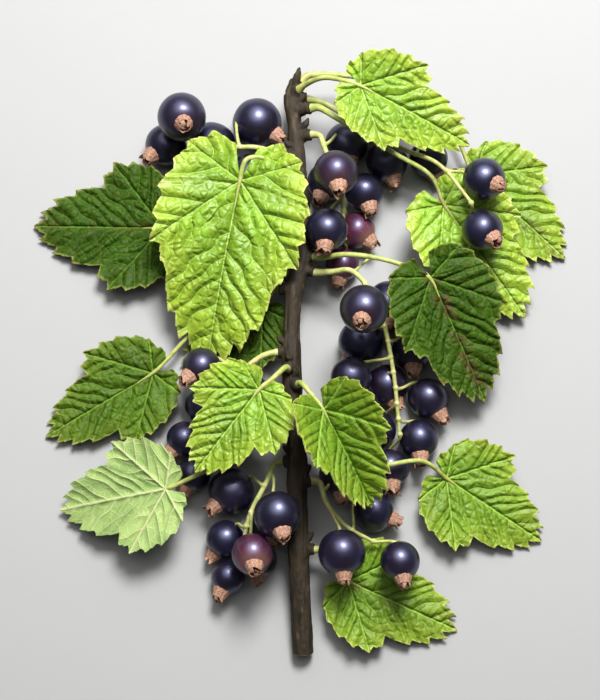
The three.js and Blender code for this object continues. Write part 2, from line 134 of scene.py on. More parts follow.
LEAVES = {
    "leaf_upper_left": leaf([(-5.4, 42, 13.5), (-10.5, 45, 18.2), (-15.8, 44.6, 19.2)], (-17.5, 39.5, 18),
                            47, 0.62, 0.17, -102, -4, 26, 8, 5, 1.0, 0.4),
    "leaf_small_front": leaf([(-5.6, -8, 15.2), (-9, -11, 19)], (-12.5, -14, 20),
                             25, 0.82, 0.25, -128, 4, 24, 12, 0, 0.7, 2.0),
    "leaf_folded_front": leaf([(-2.6, -12, 15.2), (0, -14.5, 19)], (3.5, -19, 19.5),
                              26, 0.6, 0.2, -62, 0, 24, 52, -6, 0.7, 1.1),
    "leaf_upper_right": leaf([(0.6, 60, 12), (9, 55, 16), (22, 47, 15.5), (31.5, 41.5, 13)], (34.5, 34.5, 12),
                             35, 0.62, 0.22, -52, -8, 14, 10, -4, 0.8, 0.7),
    "leaf_right": leaf([(1.2, 21, 12.5), (10, 20.5, 17.5), (20, 18.5, 19.5)], (30.5, 14.5, 18.2),
                       34, 0.64, 0.2, -64, -12, 14, 10, -4, 0.9, 3.0),
    "leaf_top_right": leaf([(-2.4, 65, 12.5), (4, 66, 19)], (13, 63, 22),
                           31, 0.6, 0.25, -27, -2, 24, 10, 5, 0.7, 0.9),
    "leaf_far_right": leaf([(-2.0, 67.5, 10.5), (18, 68, 9), (36, 58, 6)], (43, 44, 4.6),
                           31, 0.72, 0.25, -42, -3, 8, 6, 0, 0.8, 2.6),
    "leaf_behind_left": leaf([(-7.4, 13, 10)], (-12, 9, 5.4),
                             26, 0.72, 0.25, -140, -7, 6, 4, 0, 0.6, 1.7),
    "leaf_left": leaf([(-5.2, 22, 10.5), (-21, 14, 8.2), (-30, 3, 5.2)], (-40, -8, 4.7),
                      31, 0.66, 0.25, -150, -4, 6, 8, 0, 0.8, 0.2),
    "leaf_far_left": leaf([(-4.9, 36, 10), (-20, 33, 7)], (-38, 30, 4.7),
                          33, 0.78, 0.25, 178, -4, 6, 6, 0, 0.8, 2.2),
    "leaf_lower_left": leaf([(-6.2, -22, 11), (-19, -30, 13), (-29, -35, 12)], (-36, -38, 10),
                            28, 0.78, 0.25, 190, -10, 12, 8, 0, 0.7, 3.4),
    "leaf_bottom": leaf([(1.4, -53, 8)], (10, -61, 4.6),
                        29, 0.75, 0.25, -24, -4, 8, 6, 0, 0.7, 1.3),
    "leaf_lower_right": leaf([(-0.2, -22, 11), (14, -32, 12.5), (28.5, -31, 10)], (35, -35, 4.7),
                             28, 0.78, 0.25, -33, -4, 8, 8, 0, 0.7, 0.6),
}


def strig(path, berries, bare, diameter, reach, seed):
    """One strig's layout: its stalk's points, its berries and bare side stalks, and its seed."""
    return dict(path=path, berries=berries, bare=bare, diameter=diameter, reach=reach, seed=seed)


STRIGS = {
    "strig_upper_left": strig([(-6.6, 47.5, 12), (-13, 49, 14), (-24, 48.5, 12.5), (-33.5, 44.5, 9)],
                              5, 0, (13.0, 11.5), 5.0, 3),
    "strig_top_centre": strig([(0.6, 53, 12), (4.5, 47, 16), (8, 38, 15), (9, 26, 11)],
                              8, 0, (11.5, 9.0), 5.5, 11),
    "strig_upper_right": strig([(-0.4, 63, 10), (10, 58, 10.5), (23, 50, 11), (33, 43.5, 18),
                                (40.5, 33, 21.5)],
                               5, 0, (11.0, 10.5), 4.5, 23),
    "strig_middle_right": strig([(1.4, 17, 12), (11, 16.5, 16), (17.5, 7, 15), (21, -7, 12), (23, -24, 8)],
                                10, 2, (12.0, 9.5), 5.5, 5),
    "strig_middle_left": strig([(-8.0, -3.5, 11.5), (-15, -7, 14), (-22, -16, 12), (-28, -28, 9)],
                               6, 0, (11.0, 9.0), 5.0, 17),
    "strig_lower_left": strig([(-6.6, -31, 10), (-11, -37, 13), (-15, -45, 12), (-17, -54, 8.5)],
                              7, 0, (11.5, 8.5), 5.0, 29),
    "strig_lower_right": strig([(0.6, -36, 9.5), (4.5, -42, 12), (9.5, -47.5, 11), (16, -51, 8.5)],
                               4, 0, (11.7, 10.5), 4.5, 41),
}


# Layout: smooth lines through points.

def mix(low, high, share):
    return low + (high - low) * share


def unit(vector):
    return vector / np.linalg.norm(vector)


def to_frame(spots):
    """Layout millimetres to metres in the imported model's frame."""
    return (np.asarray(spots, float) - SPRIG_CENTRE) * MM


def seeded(seed):
    """A repeatable stream of numbers from 0 to 1."""
    state = seed
    while True:
        state = (state * 1664525 + 1013904223) % 2 ** 32
        yield state / 2 ** 32


class Line:
    """A smooth line through a few points, walked by its share of length."""

    STEPS = 200

    def __init__(self, points):
        knots = [np.array(p, float) for p in points]
        self.knots = [2 * knots[0] - knots[1], *knots, 2 * knots[-1] - knots[-2]]
        walk = np.array([self.spot(i / self.STEPS) for i in range(self.STEPS + 1)])
        gaps = np.linalg.norm(np.diff(walk, axis=0), axis=1)
        self.lengths = np.concatenate(([0.0], np.cumsum(gaps)))

    def spot(self, t):
        spans = len(self.knots) - 3
        span = min(int(t * spans), spans - 1)
        share = t * spans - span
        p0, p1, p2, p3 = self.knots[span:span + 4]
        d0, d1, d2 = (max(np.linalg.norm(b - a), 1e-8) ** 0.5 for a, b in ((p0, p1), (p1, p2), (p2, p3)))
        leave = ((p1 - p0) / d0 - (p2 - p0) / (d0 + d1) + (p2 - p1) / d1) * d1
        arrive = ((p2 - p1) / d1 - (p3 - p1) / (d1 + d2) + (p3 - p2) / d2) * d1
        square = -3 * p1 + 3 * p2 - 2 * leave - arrive
        cube = 2 * p1 - 2 * p2 + leave + arrive
        return p1 + leave * share + square * share ** 2 + cube * share ** 3

    def turn_of(self, share):
        steps = np.linspace(0, 1, self.STEPS + 1)
        return float(np.interp(share * self.lengths[-1], self.lengths, steps))

    def at(self, share):
        return self.spot(self.turn_of(share))

    def ahead(self, share):
        t = self.turn_of(share)
        return unit(self.spot(min(t + 1e-4, 1)) - self.spot(max(t - 1e-4, 0)))


class Bow(Line):
    """A line with two pulling points, as a stalk that leaves one way and arrives another."""

    def __init__(self, start, leave, arrive, end):
        self.pulls = [start, leave, arrive, end]
        walk = np.array([self.spot(i / self.STEPS) for i in range(self.STEPS + 1)])
        self.lengths = np.concatenate(([0.0], np.cumsum(np.linalg.norm(np.diff(walk, axis=0), axis=1))))

    def spot(self, t):
        shares = ((1 - t) ** 3, 3 * t * (1 - t) ** 2, 3 * t ** 2 * (1 - t), t ** 3)
        return sum(share * pull for share, pull in zip(shares, self.pulls))


CANE_LINE = Line(CANE_POINTS)


def nearest_on_cane(place):
    spots = np.array([CANE_LINE.at(i / CANE_SAMPLES) for i in range(CANE_SAMPLES + 1)])
    return spots[np.argmin(np.linalg.norm(spots - place, axis=1))]


def stalk_line(points):
    """A stalk leaves its spur straight ahead before it bends."""
    start = np.array(points[0], float)
    ahead = unit(start - nearest_on_cane(start)) * STALK_STRAIGHT
    return Line([start, start + ahead, *points[1:]])


# Layout: leaf blades.

def lobed_reach(degrees, cut):
    off = np.abs(np.asarray(degrees, float))
    reaches = [reach * (1 - cut * (np.abs(off - angle) / LOBE_SPREAD) ** LOBE_POWER)
               for angle, reach in LOBES]
    return np.maximum(np.max(reaches, axis=0), LOBE_LEAST)


def notch_after(i):
    after = TOOTH_ANGLES[i + 1] if i + 1 < len(TOOTH_ANGLES) else BASE_ANGLE
    return mix(TOOTH_ANGLES[i], after, NOTCH_SHARE)


def blade_rim(cut):
    """Angles and reaches of the rim's teeth and notches, from one side of the stalk to the other."""
    half = []
    for i, angle in enumerate(TOOTH_ANGLES):
        half.append((angle, lobed_reach(angle, cut) * (1 + TOOTH_DEPTH)))
        half.append((notch_after(i), lobed_reach(notch_after(i), cut) * (1 - TOOTH_DEPTH)))
    half.append((BASE_ANGLE, lobed_reach(BASE_ANGLE, cut)))
    return [(-angle, reach) for angle, reach in half[:0:-1]] + half


def leaf_place(leaf, angle, reach, above):
    """Places on a leaf by angle from its midrib, reach, and height above its middle sheet."""
    turn = np.radians(angle)
    along = leaf["length"] * reach * np.cos(turn)
    across = leaf["width"] * leaf["length"] * reach * np.sin(turn)
    ripple = leaf["wave"] * reach * reach * np.sin(RIPPLES * turn + leaf["phase"])
    lift = math.tan(math.radians(leaf["fold"])) * np.abs(across) + ripple + above
    bend = math.radians(leaf["droop"]) / leaf["length"]
    bent = bend * along
    local = np.stack([np.sin(bent) / bend + lift * np.sin(bent), across + 0 * bent,
                      (np.cos(bent) - 1) / bend + lift * np.cos(bent)], axis=-1)
    lie = (Matrix.Rotation(math.radians(leaf["heading"]), 3, "Z")
           @ Matrix.Rotation(-math.radians(leaf["pitch"]), 3, "Y")
           @ Matrix.Rotation(math.radians(leaf["roll"]), 3, "X"))
    return local @ np.array(lie).T + np.array(leaf["base"], float)


def leaf_stalk_line(leaf):
    sunk = leaf_place(leaf, 0.0, LEAF_STALK_SUNK, -BLADE_THICKNESS / 2)
    return stalk_line([*leaf["stalk"], leaf["base"], sunk])


# Layout: strigs and their berries at rest.

def spots_along(line, radius):
    shares = np.arange(ROD_SAMPLES + 1) / ROD_SAMPLES
    return [(line.at(share), mix(*radius, share)) for share in shares]


def spots_to_clear():
    """Round spots that berries keep clear of, along every rod and over every leaf blade."""
    spots = spots_along(CANE_LINE, CANE_RADIUS)
    for one in STRIGS.values():
        spots += spots_along(stalk_line(one["path"]), STRIG_STALK_RADIUS)
    for one in LEAVES.values():
        spots += spots_along(leaf_stalk_line(one), LEAF_STALK_RADIUS)
    for one in LEAVES.values():
        for ring in BLADE_SPOT_RINGS:
            spots += [(leaf_place(one, angle, reach * ring, 0.0), BLADE_CLEARANCE)
                      for angle, reach in blade_rim(one["cut"])]
    return np.array([spot for spot, _ in spots]), np.array([radius for _, radius in spots])


def side_stalks_of(one):
    """Side stalks stand round the strig in a spiral, shorter and closer to its line towards the tip."""
    draw = seeded(one["seed"])
    line = stalk_line(one["path"])
    count = one["bare"] + one["berries"]
    stalks = []
    for i in range(count):
        order = i / (count - 1)
        share = mix(FIRST_BERRY_SHARE, 1, order)
        ahead = line.ahead(share)
        level = unit(np.cross(UP, ahead))
        spin = i * GOLDEN_ANGLE + SIDE_STALK_SPIN * (next(draw) - 0.5)
        splay = mix(SPLAY_FIRST, SPLAY_LAST, order * order) + SPLAY_VARIES * (next(draw) - 0.5)
        away = (ahead * math.cos(splay) + level * math.cos(spin) * math.sin(splay)
                + UP * math.sin(spin) * math.sin(splay))
        radius = 0.5 * mix(*one["diameter"], order) * (1 + BERRY_VARIES * (next(draw) - 0.5))
        length = one["reach"] * mix(REACH_FIRST, REACH_LAST, order)
        sways = [np.array([next(draw) - 0.5 for _ in range(3)]) for _ in range(AXIS_TRIES)]
        node = line.at(share)
        stalks.append(dict(node=node, away=away, radius=radius, length=length, sways=sways, order=order,
                           floor=radius - BERRY_SINK, centre=node + away * (length + radius),
                           bare=i < one["bare"]))
    return stalks


def pushes(centres, radii, spots, spot_radii, skip_same):
    """The sum of the pushes that move each ball out of the spots it is in."""
    way = centres[:, None] - spots[None]
    apart = np.linalg.norm(way, axis=2)
    inside = radii[:, None] + spot_radii[None] + BERRY_GAP - apart
    if skip_same:
        np.fill_diagonal(inside, 0)
        np.fill_diagonal(apart, 1)
    inside = np.maximum(inside, 0)
    return (way * (inside / apart)[:, :, None]).sum(axis=1)


def settle(berries, spots, spot_radii):
    """All berries fall together until the surface, the spots and each other hold them."""
    centres = np.array([berry["centre"] for berry in berries])
    radii = np.array([berry["radius"] for berry in berries])
    nodes = np.array([berry["node"] for berry in berries])
    tethers = np.array([berry["length"] + berry["radius"] for berry in berries])
    floors = np.array([berry["floor"] for berry in berries])
    for step in range(SETTLE_ROUNDS):
        moves = SETTLE_PUSH * (pushes(centres, radii, spots, spot_radii, False)
                               + pushes(centres, radii, centres, radii, True))
        if step < SETTLE_ROUNDS - SETTLE_CALM:
            lines = nodes - centres
            reach = np.linalg.norm(lines, axis=1)
            slack = np.maximum(reach - tethers, 0)
            moves += lines * (slack * SETTLE_TETHER / reach)[:, None] - UP * SETTLE_FALL
        centres = centres + moves
        centres[:, 2] = np.maximum(centres[:, 2], floors)
    for berry, centre in zip(berries, centres):
        berry["centre"] = centre


def point_berry(berry, berries, spots, spot_radii):
    """A berry points away from its side stalk, down the sprig and upwards, where its flower has room."""
    others = [other for other in berries if other is not berry]
    around = np.vstack([spots, [other["centre"] for other in others]])
    sizes = np.concatenate([spot_radii, [other["radius"] for other in others]])
    lean = np.array([0, -LEAN_DOWN, LEAN_UP]) + LEAN_OUT * unit(berry["centre"] - berry["node"])
    most = -math.inf
    for sway in berry["sways"]:
        axis = unit(lean + LEAN_SWAY * sway)
        tip = berry["centre"] + axis * (berry["radius"] + CALYX_LENGTH)
        rise = berry["centre"][2] - (berry["radius"] + SIDE_STALK_BOW) * axis[2]
        gaps = np.linalg.norm(around - tip, axis=1) - sizes
        room = min(CALYX_ROOM, tip[2], rise, gaps.min())
        if room > most:
            most = room
            berry["axis"] = axis
    berry["end"] = berry["centre"] + berry["axis"] * (SIDE_STALK_SUNK - berry["radius"])


def lay_out_strigs():
    strigs = {name: side_stalks_of(one) for name, one in STRIGS.items()}
    berries = [stalk for stalks in strigs.values() for stalk in stalks if not stalk["bare"]]
    spots, spot_radii = spots_to_clear()
    settle(berries, spots, spot_radii)
    for berry in berries:
        point_berry(berry, berries, spots, spot_radii)
    return strigs


# Mesh helpers.

JOIN_WITHIN = 2e-6


def wrapped(bm, columns, rows, place):
    """A grid whose corners are moved to place(u, v), with u and v from 0 to 1, joined where they meet."""
    made = bmesh.ops.create_grid(bm, x_segments=columns, y_segments=rows, size=0.5)["verts"]
    flat = np.array([vert.co[:2] for vert in made]) + 0.5
    for vert, spot in zip(made, place(flat[:, 0], flat[:, 1])):
        vert.co = spot
    bmesh.ops.remove_doubles(bm, verts=made, dist=JOIN_WITHIN)


def frames_along(line, shares):
    """Places along a line, each with two directions across it that don't twist."""
    places = np.array([line.at(share) for share in shares])
    aheads = np.array([line.ahead(share) for share in shares])
    first = np.zeros_like(places)
    across = np.cross(UP if abs(aheads[0][2]) < 0.9 else np.array([1.0, 0, 0]), aheads[0])
    for i, ahead in enumerate(aheads):
        across = unit(across - ahead * np.dot(across, ahead))
        first[i] = across
    return places, first, np.cross(aheads, first)


def tube(bm, line, radius_at, sides, steps):
    """A closed round rod along a line, its radius given by its share of length."""
    rings = steps + 2
    shares = np.clip((np.arange(rings + 1) - 1) / steps, 0, 1)
    places, first, second = frames_along(line, shares)
    radii = radius_at(shares)
    radii[[0, -1]] = 0

    def place(u, v):
        ring = np.rint(v * rings).astype(int)
        turn = 2 * math.pi * u
        across = np.cos(turn)[:, None] * first[ring] + np.sin(turn)[:, None] * second[ring]
        return to_frame(places[ring] + across * radii[ring][:, None])

    wrapped(bm, sides, rings, place)


def mesh_of(name, bm):
    mesh = bpy.data.meshes.new(name)
    bm.to_mesh(mesh)
    bm.free()
    return mesh


def with_modifiers(mesh, modifiers):
    """The mesh after these modifiers, given as a kind and its settings."""
    rough = bpy.data.objects.new(mesh.name + "_rough", mesh)
    bpy.context.scene.collection.objects.link(rough)
    for kind, settings in modifiers:
        modifier = rough.modifiers.new(kind.title(), kind)
        for key, value in settings.items():
            setattr(modifier, key, value)
    evaluated = rough.evaluated_get(bpy.context.evaluated_depsgraph_get())
    made = bpy.data.meshes.new_from_object(evaluated)
    bpy.data.objects.remove(rough)
    bpy.data.meshes.remove(mesh)
    return made


def fused(mesh, voxel):
    """Overlapping rods grown into one skin."""
    return with_modifiers(mesh, [
        ("REMESH", dict(mode="VOXEL", voxel_size=voxel, use_smooth_shade=True)),
        ("SMOOTH", dict(factor=0.5, iterations=3)),
    ])


def place_piece(name, mesh, finishes, node):
    """Puts a finished mesh in the scene as a piece that stands for a node."""
    mesh.name = name
    mesh.materials.clear()
    for finish in finishes:
        mesh.materials.append(finish)
    piece = bpy.data.objects.new(name, mesh)
    bpy.context.scene.collection.objects.link(piece)
    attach(piece, BODY)
    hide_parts(node)
    return piece


# Shader helpers.

class Wire:
    """A shader socket that Python arithmetic can use."""

    def __init__(self, paint, socket):
        self.paint = paint
        self.socket = socket

    def __add__(self, other):
        return self.paint.math("ADD", self, other)

    def __sub__(self, other):
        return self.paint.math("SUBTRACT", self, other)

    def __rsub__(self, other):
        return self.paint.math("SUBTRACT", other, self)

    def __mul__(self, other):
        return self.paint.math("MULTIPLY", self, other)

    __radd__ = __add__
    __rmul__ = __mul__


class Paint:
    """A new material and the nodes of its finish."""

    def __init__(self, name):
        self.material = bpy.data.materials.new(name)
        self.material.use_nodes = True
        self.tree = self.material.node_tree
        self.tree.nodes.clear()

    def add(self, kind, settings=None, inputs=None, output=0):
        node = self.tree.nodes.new("ShaderNode" + kind)
        for key, value in (settings or {}).items():
            setattr(node, key, value)
        for key, value in (inputs or {}).items():
            if isinstance(value, Wire):
                self.tree.links.new(value.socket, node.inputs[key])
            else:
                node.inputs[key].default_value = value
        return Wire(self, node.outputs[output]) if node.outputs else None

    def math(self, operation, *values):
        return self.add("Math", {"operation": operation}, dict(enumerate(values)))

    def mix(self, share, low, high):
        return self.add("Mix", {"data_type": "RGBA"}, {0: share, 6: colour(low), 7: colour(high)}, 2)

    def ease(self, value, low, high):
        """0 below low, 1 above high and smooth between, or the other way round."""
        inputs = {"Value": value, "From Min": low, "From Max": high}
        return self.add("MapRange", {"interpolation_type": "SMOOTHSTEP"}, inputs)

    def noise(self, where, scale, detail=3.0, roughness=0.55):
        return self.add("TexNoise", None, {"Vector": where, "Scale": scale, "Detail": detail,
                                           "Roughness": roughness})

    def here(self, stretch=(1, 1, 1)):
        """Object coordinates in centimetres, stretched along the axes."""
        place = self.add("TexCoord", output="Object")
        return self.add("Mapping", None, {"Vector": place, "Scale": [100 * s for s in stretch]})

    def attribute(self, name):
        return self.add("Attribute", {"attribute_name": name}, None, "Fac")

    def uv(self, name):
        return self.add("UVMap", {"uv_map": name})

    def parts(self, vector):
        node = self.add("SeparateXYZ", None, {0: vector}).socket.node
        return [Wire(self, socket) for socket in node.outputs]

    def bump(self, height, strength, distance):
        return self.add("Bump", None, {"Height": height, "Strength": strength, "Distance": distance * MM})

    def finish(self, **sockets):
        inputs = {key.replace("_", " "): value for key, value in sockets.items()}
        skin = self.add("BsdfPrincipled", None, inputs)
        self.add("OutputMaterial", None, {"Surface": skin})
        return self.material


def colour(value):
    if isinstance(value, Wire):
        return value
    return (*value[:3], 1.0)


# Finishes.

def bark_finish(look):
    """Furrowed bark with grey flakes and pores, and pale wood with a pith on the cut."""
    paint = Paint("cane_bark")
    along = paint.noise(paint.here((9, 0.7, 9)), 1.0, 6.0, 0.65)
    patch = paint.noise(paint.here(), 1.6, 3.0)
    flake = paint.ease(paint.noise(paint.here((5, 1.6, 5)), 1.0, 4.0), 0.56, 0.68)
    pores = paint.add("TexVoronoi", {"feature": "F1"},
                      {"Vector": paint.here((3.2, 1.7, 3.2)), "Scale": 1.0, "Randomness": 1.0})
    pore = 1 - paint.ease(pores, 0.1, 0.2)
    bark = paint.mix(paint.ease(along, 0.32, 0.66), look.bark_dark, look.bark)
    bark = paint.mix(flake * 0.55, bark, look.bark_flake)
    bark = paint.mix(paint.ease(patch, 0.5, 0.75) * 0.35, bark, look.bark_dark)
    bark = paint.mix(pore * 0.6, bark, look.bark_flake)
    cut = paint.attribute("cut")
    grain = paint.noise(paint.here((14, 14, 14)), 1.0, 3.0)
    heart = paint.attribute("heart")
    wood = paint.mix(paint.ease(grain, 0.35, 0.7), look.wood, look.wood_pale)
    wood = paint.mix(1 - paint.ease(heart, 0.18, 0.3), wood, look.pith)
    wood = paint.mix(paint.ease(heart, 0.8, 0.9), wood, look.under_bark)
    relief = along * 0.8 + flake * 0.5 - pore * 0.4
    return paint.finish(
        Base_Color=paint.mix(cut, bark, wood),
        Roughness=0.62 + 0.25 * along,
        Normal=paint.bump(relief, 0.55, 0.25),
        Specular_IOR_Level=0.3,
    )


def stalk_finish(look, name, joint):
    """Green stalks, tinged brown in patches."""
    paint = Paint(name)
    streak = paint.noise(paint.here((7, 7, 7)), 1.0, 4.0)
    patch = paint.noise(paint.here(), 0.9, 2.0)
    skin = paint.mix(paint.ease(streak, 0.3, 0.7), look.stalk, look.stalk_pale)
    skin = paint.mix(paint.ease(patch, 0.5, 0.8) * joint, skin, look.stalk_brown)
    return paint.finish(
        Base_Color=skin,
        Roughness=0.42 + 0.15 * streak,
        Normal=paint.bump(streak, 0.25, 0.12),
        Subsurface_Weight=0.15,
        Subsurface_Scale=0.0015,
        Specular_IOR_Level=0.4,
    )


def vein_lines(paint):
    """The strength of the main, side and net veins, and of pleats and pillows, from the blade's own maps."""
    phase, apart, _ = paint.parts(paint.uv("veins"))
    aside = paint.math("ABSOLUTE", paint.math("FRACT", phase + 0.5) - 0.5)
    main = 1 - paint.ease(apart, 0.01, 0.05)
    side = 1 - paint.ease(aside, 0.015, 0.075)
    cells = paint.add("TexVoronoi", {"feature": "DISTANCE_TO_EDGE"},
                      {"Vector": paint.uv("blade"), "Scale": 46.0, "Randomness": 0.95})
    net = 1 - paint.ease(cells, 0.0, 0.07)
    return main, side, net, paint.ease(aside, 0.02, 0.42), paint.ease(cells, 0.0, 0.3)


def blade_finish(look, name, tone, scorch):
    """The upper face of a leaf: green between sunken pale veins, yellower at the rim. A low tone paints a
    leaf in shade, darker with duller veins and rim, and painted shade darkens the valleys by the side veins
    and along the net.
    """
    paint = Paint(name)
    main, side, net, pleat, pillow = vein_lines(paint)
    patch = paint.noise(paint.here(), 1.1, 3.0)
    fine = paint.noise(paint.here(), 14.0, 4.0)
    bulge = paint.noise(paint.here(), 5.0, 2.0)
    # A low tone paints a leaf in shade: darker, with duller veins, rim, edge and yellow flecks.
    light = [mix(a, b, tone) for a, b in zip(look.blade_shaded, look.blade)]
    deep = [0.62 * c for c in light]
    vein = [mix(2.5 * a, b, mix(0.25, 1, tone)) for a, b in zip(light, look.vein)]
    skin = paint.mix(paint.ease(patch, 0.3, 0.72), deep, light)
    skin = paint.mix(paint.ease(fine, 0.4, 0.8) * mix(0.1, 0.3, tone), skin, look.blade_yellow)
    rim = paint.attribute("rim")
    skin = paint.mix(paint.ease(rim, 0.45, 1.0) * 0.35 * tone, skin, look.blade_yellow)
    skin = paint.mix(paint.ease(rim, 0.955, 0.99) * mix(0.2, 0.5, tone), skin, look.blade_edge)
    # Painted shade: darker in the valleys by the side veins and along the edges of the net's cells.
    skin = paint.mix((1 - pleat) * 0.22, skin, deep)
    skin = paint.mix((1 - pillow) * 0.14, skin, deep)
    skin = paint.mix(net * 0.06, skin, vein)
    skin = paint.mix(side * mix(0.15, 0.35, tone), skin, vein)
    skin = paint.mix(main * mix(0.4, 0.75, tone), skin, vein)
    tips = paint.ease(paint.attribute("tip"), 0.45, 0.95)
    skin = paint.mix(tips * 0.6, skin, look.tooth_tip)
    _, across, _ = paint.parts(paint.uv("blade"))
    by_midrib = 1 - paint.ease(paint.math("ABSOLUTE", across), 0.006, 0.03)
    streak = paint.ease(paint.noise(paint.here(), 2.2, 5.0), 0.44, 0.62) * by_midrib
    skin = paint.mix(streak * scorch, skin, look.scorch)
    relief = 0.3 * fine + 0.8 * bulge + 0.7 * pleat + 0.75 * pillow - 0.4 * side - main
    return paint.finish(
        Base_Color=skin,
        Roughness=mix(0.43, 0.33, tone) + 0.16 * fine + 0.1 * patch,
        Normal=paint.bump(relief, 0.8, 0.35),
        Subsurface_Weight=0.12,
        Subsurface_Scale=0.0012,
        Specular_IOR_Level=mix(0.1, 0.5, tone),
    )


def underside_finish(look):
    """The lower face of a leaf: pale and dull, with raised veins."""
    paint = Paint("leaf_underside")
    main, side, net, _, _ = vein_lines(paint)
    patch = paint.noise(paint.here(), 1.4, 3.0)
    fine = paint.noise(paint.here(), 18.0, 4.0)
    skin = paint.mix(paint.ease(patch, 0.3, 0.7), look.underside_deep, look.underside)
    skin = paint.mix(net * 0.35, skin, look.vein_pale)
    skin = paint.mix(side * 0.7, skin, look.vein_pale)
    skin = paint.mix(main * 0.85, skin, look.vein_pale)
    relief = 0.3 * fine + 0.8 * side + main + 0.4 * net
    return paint.finish(
        Base_Color=skin,
        Roughness=0.62 + 0.12 * fine,
        Normal=paint.bump(relief, 0.5, 0.3),
        Subsurface_Weight=0.12,
        Subsurface_Scale=0.0012,
        Specular_IOR_Level=0.3,
    )


def berry_finish(look):
    """Glossy blue-black skin with a faint bloom, redder where a berry is less ripe."""
    paint = Paint("berry_skin")
    ripe = paint.attribute("ripeness")
    meridian, pole, _ = paint.parts(paint.uv("skin"))
    cloud = paint.noise(paint.here(), 3.2, 4.0)
    dust = paint.noise(paint.here(), 26.0, 3.0)
    wander = paint.noise(paint.here(), 5.0, 2.0)
    ray = paint.math("ABSOLUTE", paint.math("FRACT", meridian * 11 + wander * 0.6) - 0.5)
    rays = paint.ease(ray, 0.44, 0.5)
    skin = paint.mix(ripe, look.berry_red, look.berry)
    skin = paint.mix(rays * (1 - ripe) * 0.5, skin, look.berry_ray)
    skin = paint.mix(paint.ease(cloud, 0.36, 0.72) * 0.55, skin, look.berry_bloom)
    skin = paint.mix(paint.ease(pole, 0.6, 0.96) * (1 - ripe) * 0.7, skin, look.berry_pale)
    near_flower = paint.ease(pole, 0.86, 0.97)
    skin = paint.mix(near_flower * 0.55, skin, look.berry_red)
    return paint.finish(
        Base_Color=skin,
        Roughness=0.35 + 0.07 * cloud + 0.04 * dust,
        Normal=paint.bump(dust + 0.5 * rays, 0.05, 0.05),
        Specular_IOR_Level=1.0,
        Specular_Tint=(0.58, 0.59, 1.0, 1.0),
        Coat_Weight=0.35,
        Coat_Roughness=0.19,
        Coat_IOR=1.4,
    )


def flower_finish(look):
    """The dried flower: papery, pinkish tan, with painted shade in the grooves of its cup, and darker at its
    ragged end, in its well and on its threads.
    """
    paint = Paint("dried_flower")
    along = paint.attribute("along")
    fold = paint.attribute("fold")
    fibre = paint.noise(paint.here((24, 24, 24)), 1.0, 4.0)
    skin = paint.mix(paint.ease(along, 0.1, 0.85), look.flower_root, look.flower)
    skin = paint.mix(paint.ease(fibre, 0.32, 0.66) * 0.75, skin, look.flower_pale)
    # Painted shade in the cup's grooves; the same colour darkens the well, the threads and the sepals' edges
    # and tips.
    skin = paint.mix(fold * 0.75, skin, look.flower_dark_and_shade)
    return paint.finish(
        Base_Color=skin,
        Roughness=0.6 + 0.2 * fibre,
        Normal=paint.bump(fibre, 0.5, 0.15),
        Subsurface_Weight=0.1,
        Subsurface_Scale=0.001,
    )


def floor_finish(look):
    paint = Paint("pale_floor")
    grain = paint.noise(paint.here(), 2.0, 4.0)
    low = [0.97 * c for c in look.floor]
    return paint.finish(
        Base_Color=paint.mix(grain, low, look.floor),
        Roughness=0.75 + 0.05 * grain,
        Specular_IOR_Level=0.2,
    )


# Settings a user would change.

def shade(name, description, *rgb):
    return bpy.props.FloatVectorProperty(name=name, description=description, default=rgb, size=3, min=0.0,
                                         max=1.0, subtype="COLOR")


def size_of(name, description, default):
    return bpy.props.FloatProperty(name=name, description=description, default=default, min=0.0,
                                   subtype="DISTANCE", unit="LENGTH", precision=5)


def share_of(name, description, default, unit="NONE"):
    return bpy.props.FloatProperty(name=name, description=description, default=default, min=0.0, unit=unit)


class SprigCaneSettings(bpy.types.PropertyGroup):
    """Looks of the woody cane."""

    bark: shade("Bark", "Colour of the bark's ridges", 0.033, 0.022, 0.0105)
    bark_dark: shade("Bark furrow", "Colour of the bark's furrows", 0.011, 0.008, 0.004)
    bark_flake: shade("Bark flake", "Colour of grey flakes and pores", 0.075, 0.054, 0.032)
    wood: shade("Wood", "Colour of the wood on the cut", 0.42, 0.3, 0.16)
    wood_pale: shade("Pale wood", "Paler grain of the wood on the cut", 0.62, 0.5, 0.3)
    pith: shade("Pith", "Colour of the cane's heart", 0.5, 0.42, 0.3)
    under_bark: shade("Under bark", "Green ring just under the bark", 0.25, 0.27, 0.08)
    relief: size_of("Bark relief", "How far the bark's ridges stand out", 0.00022)


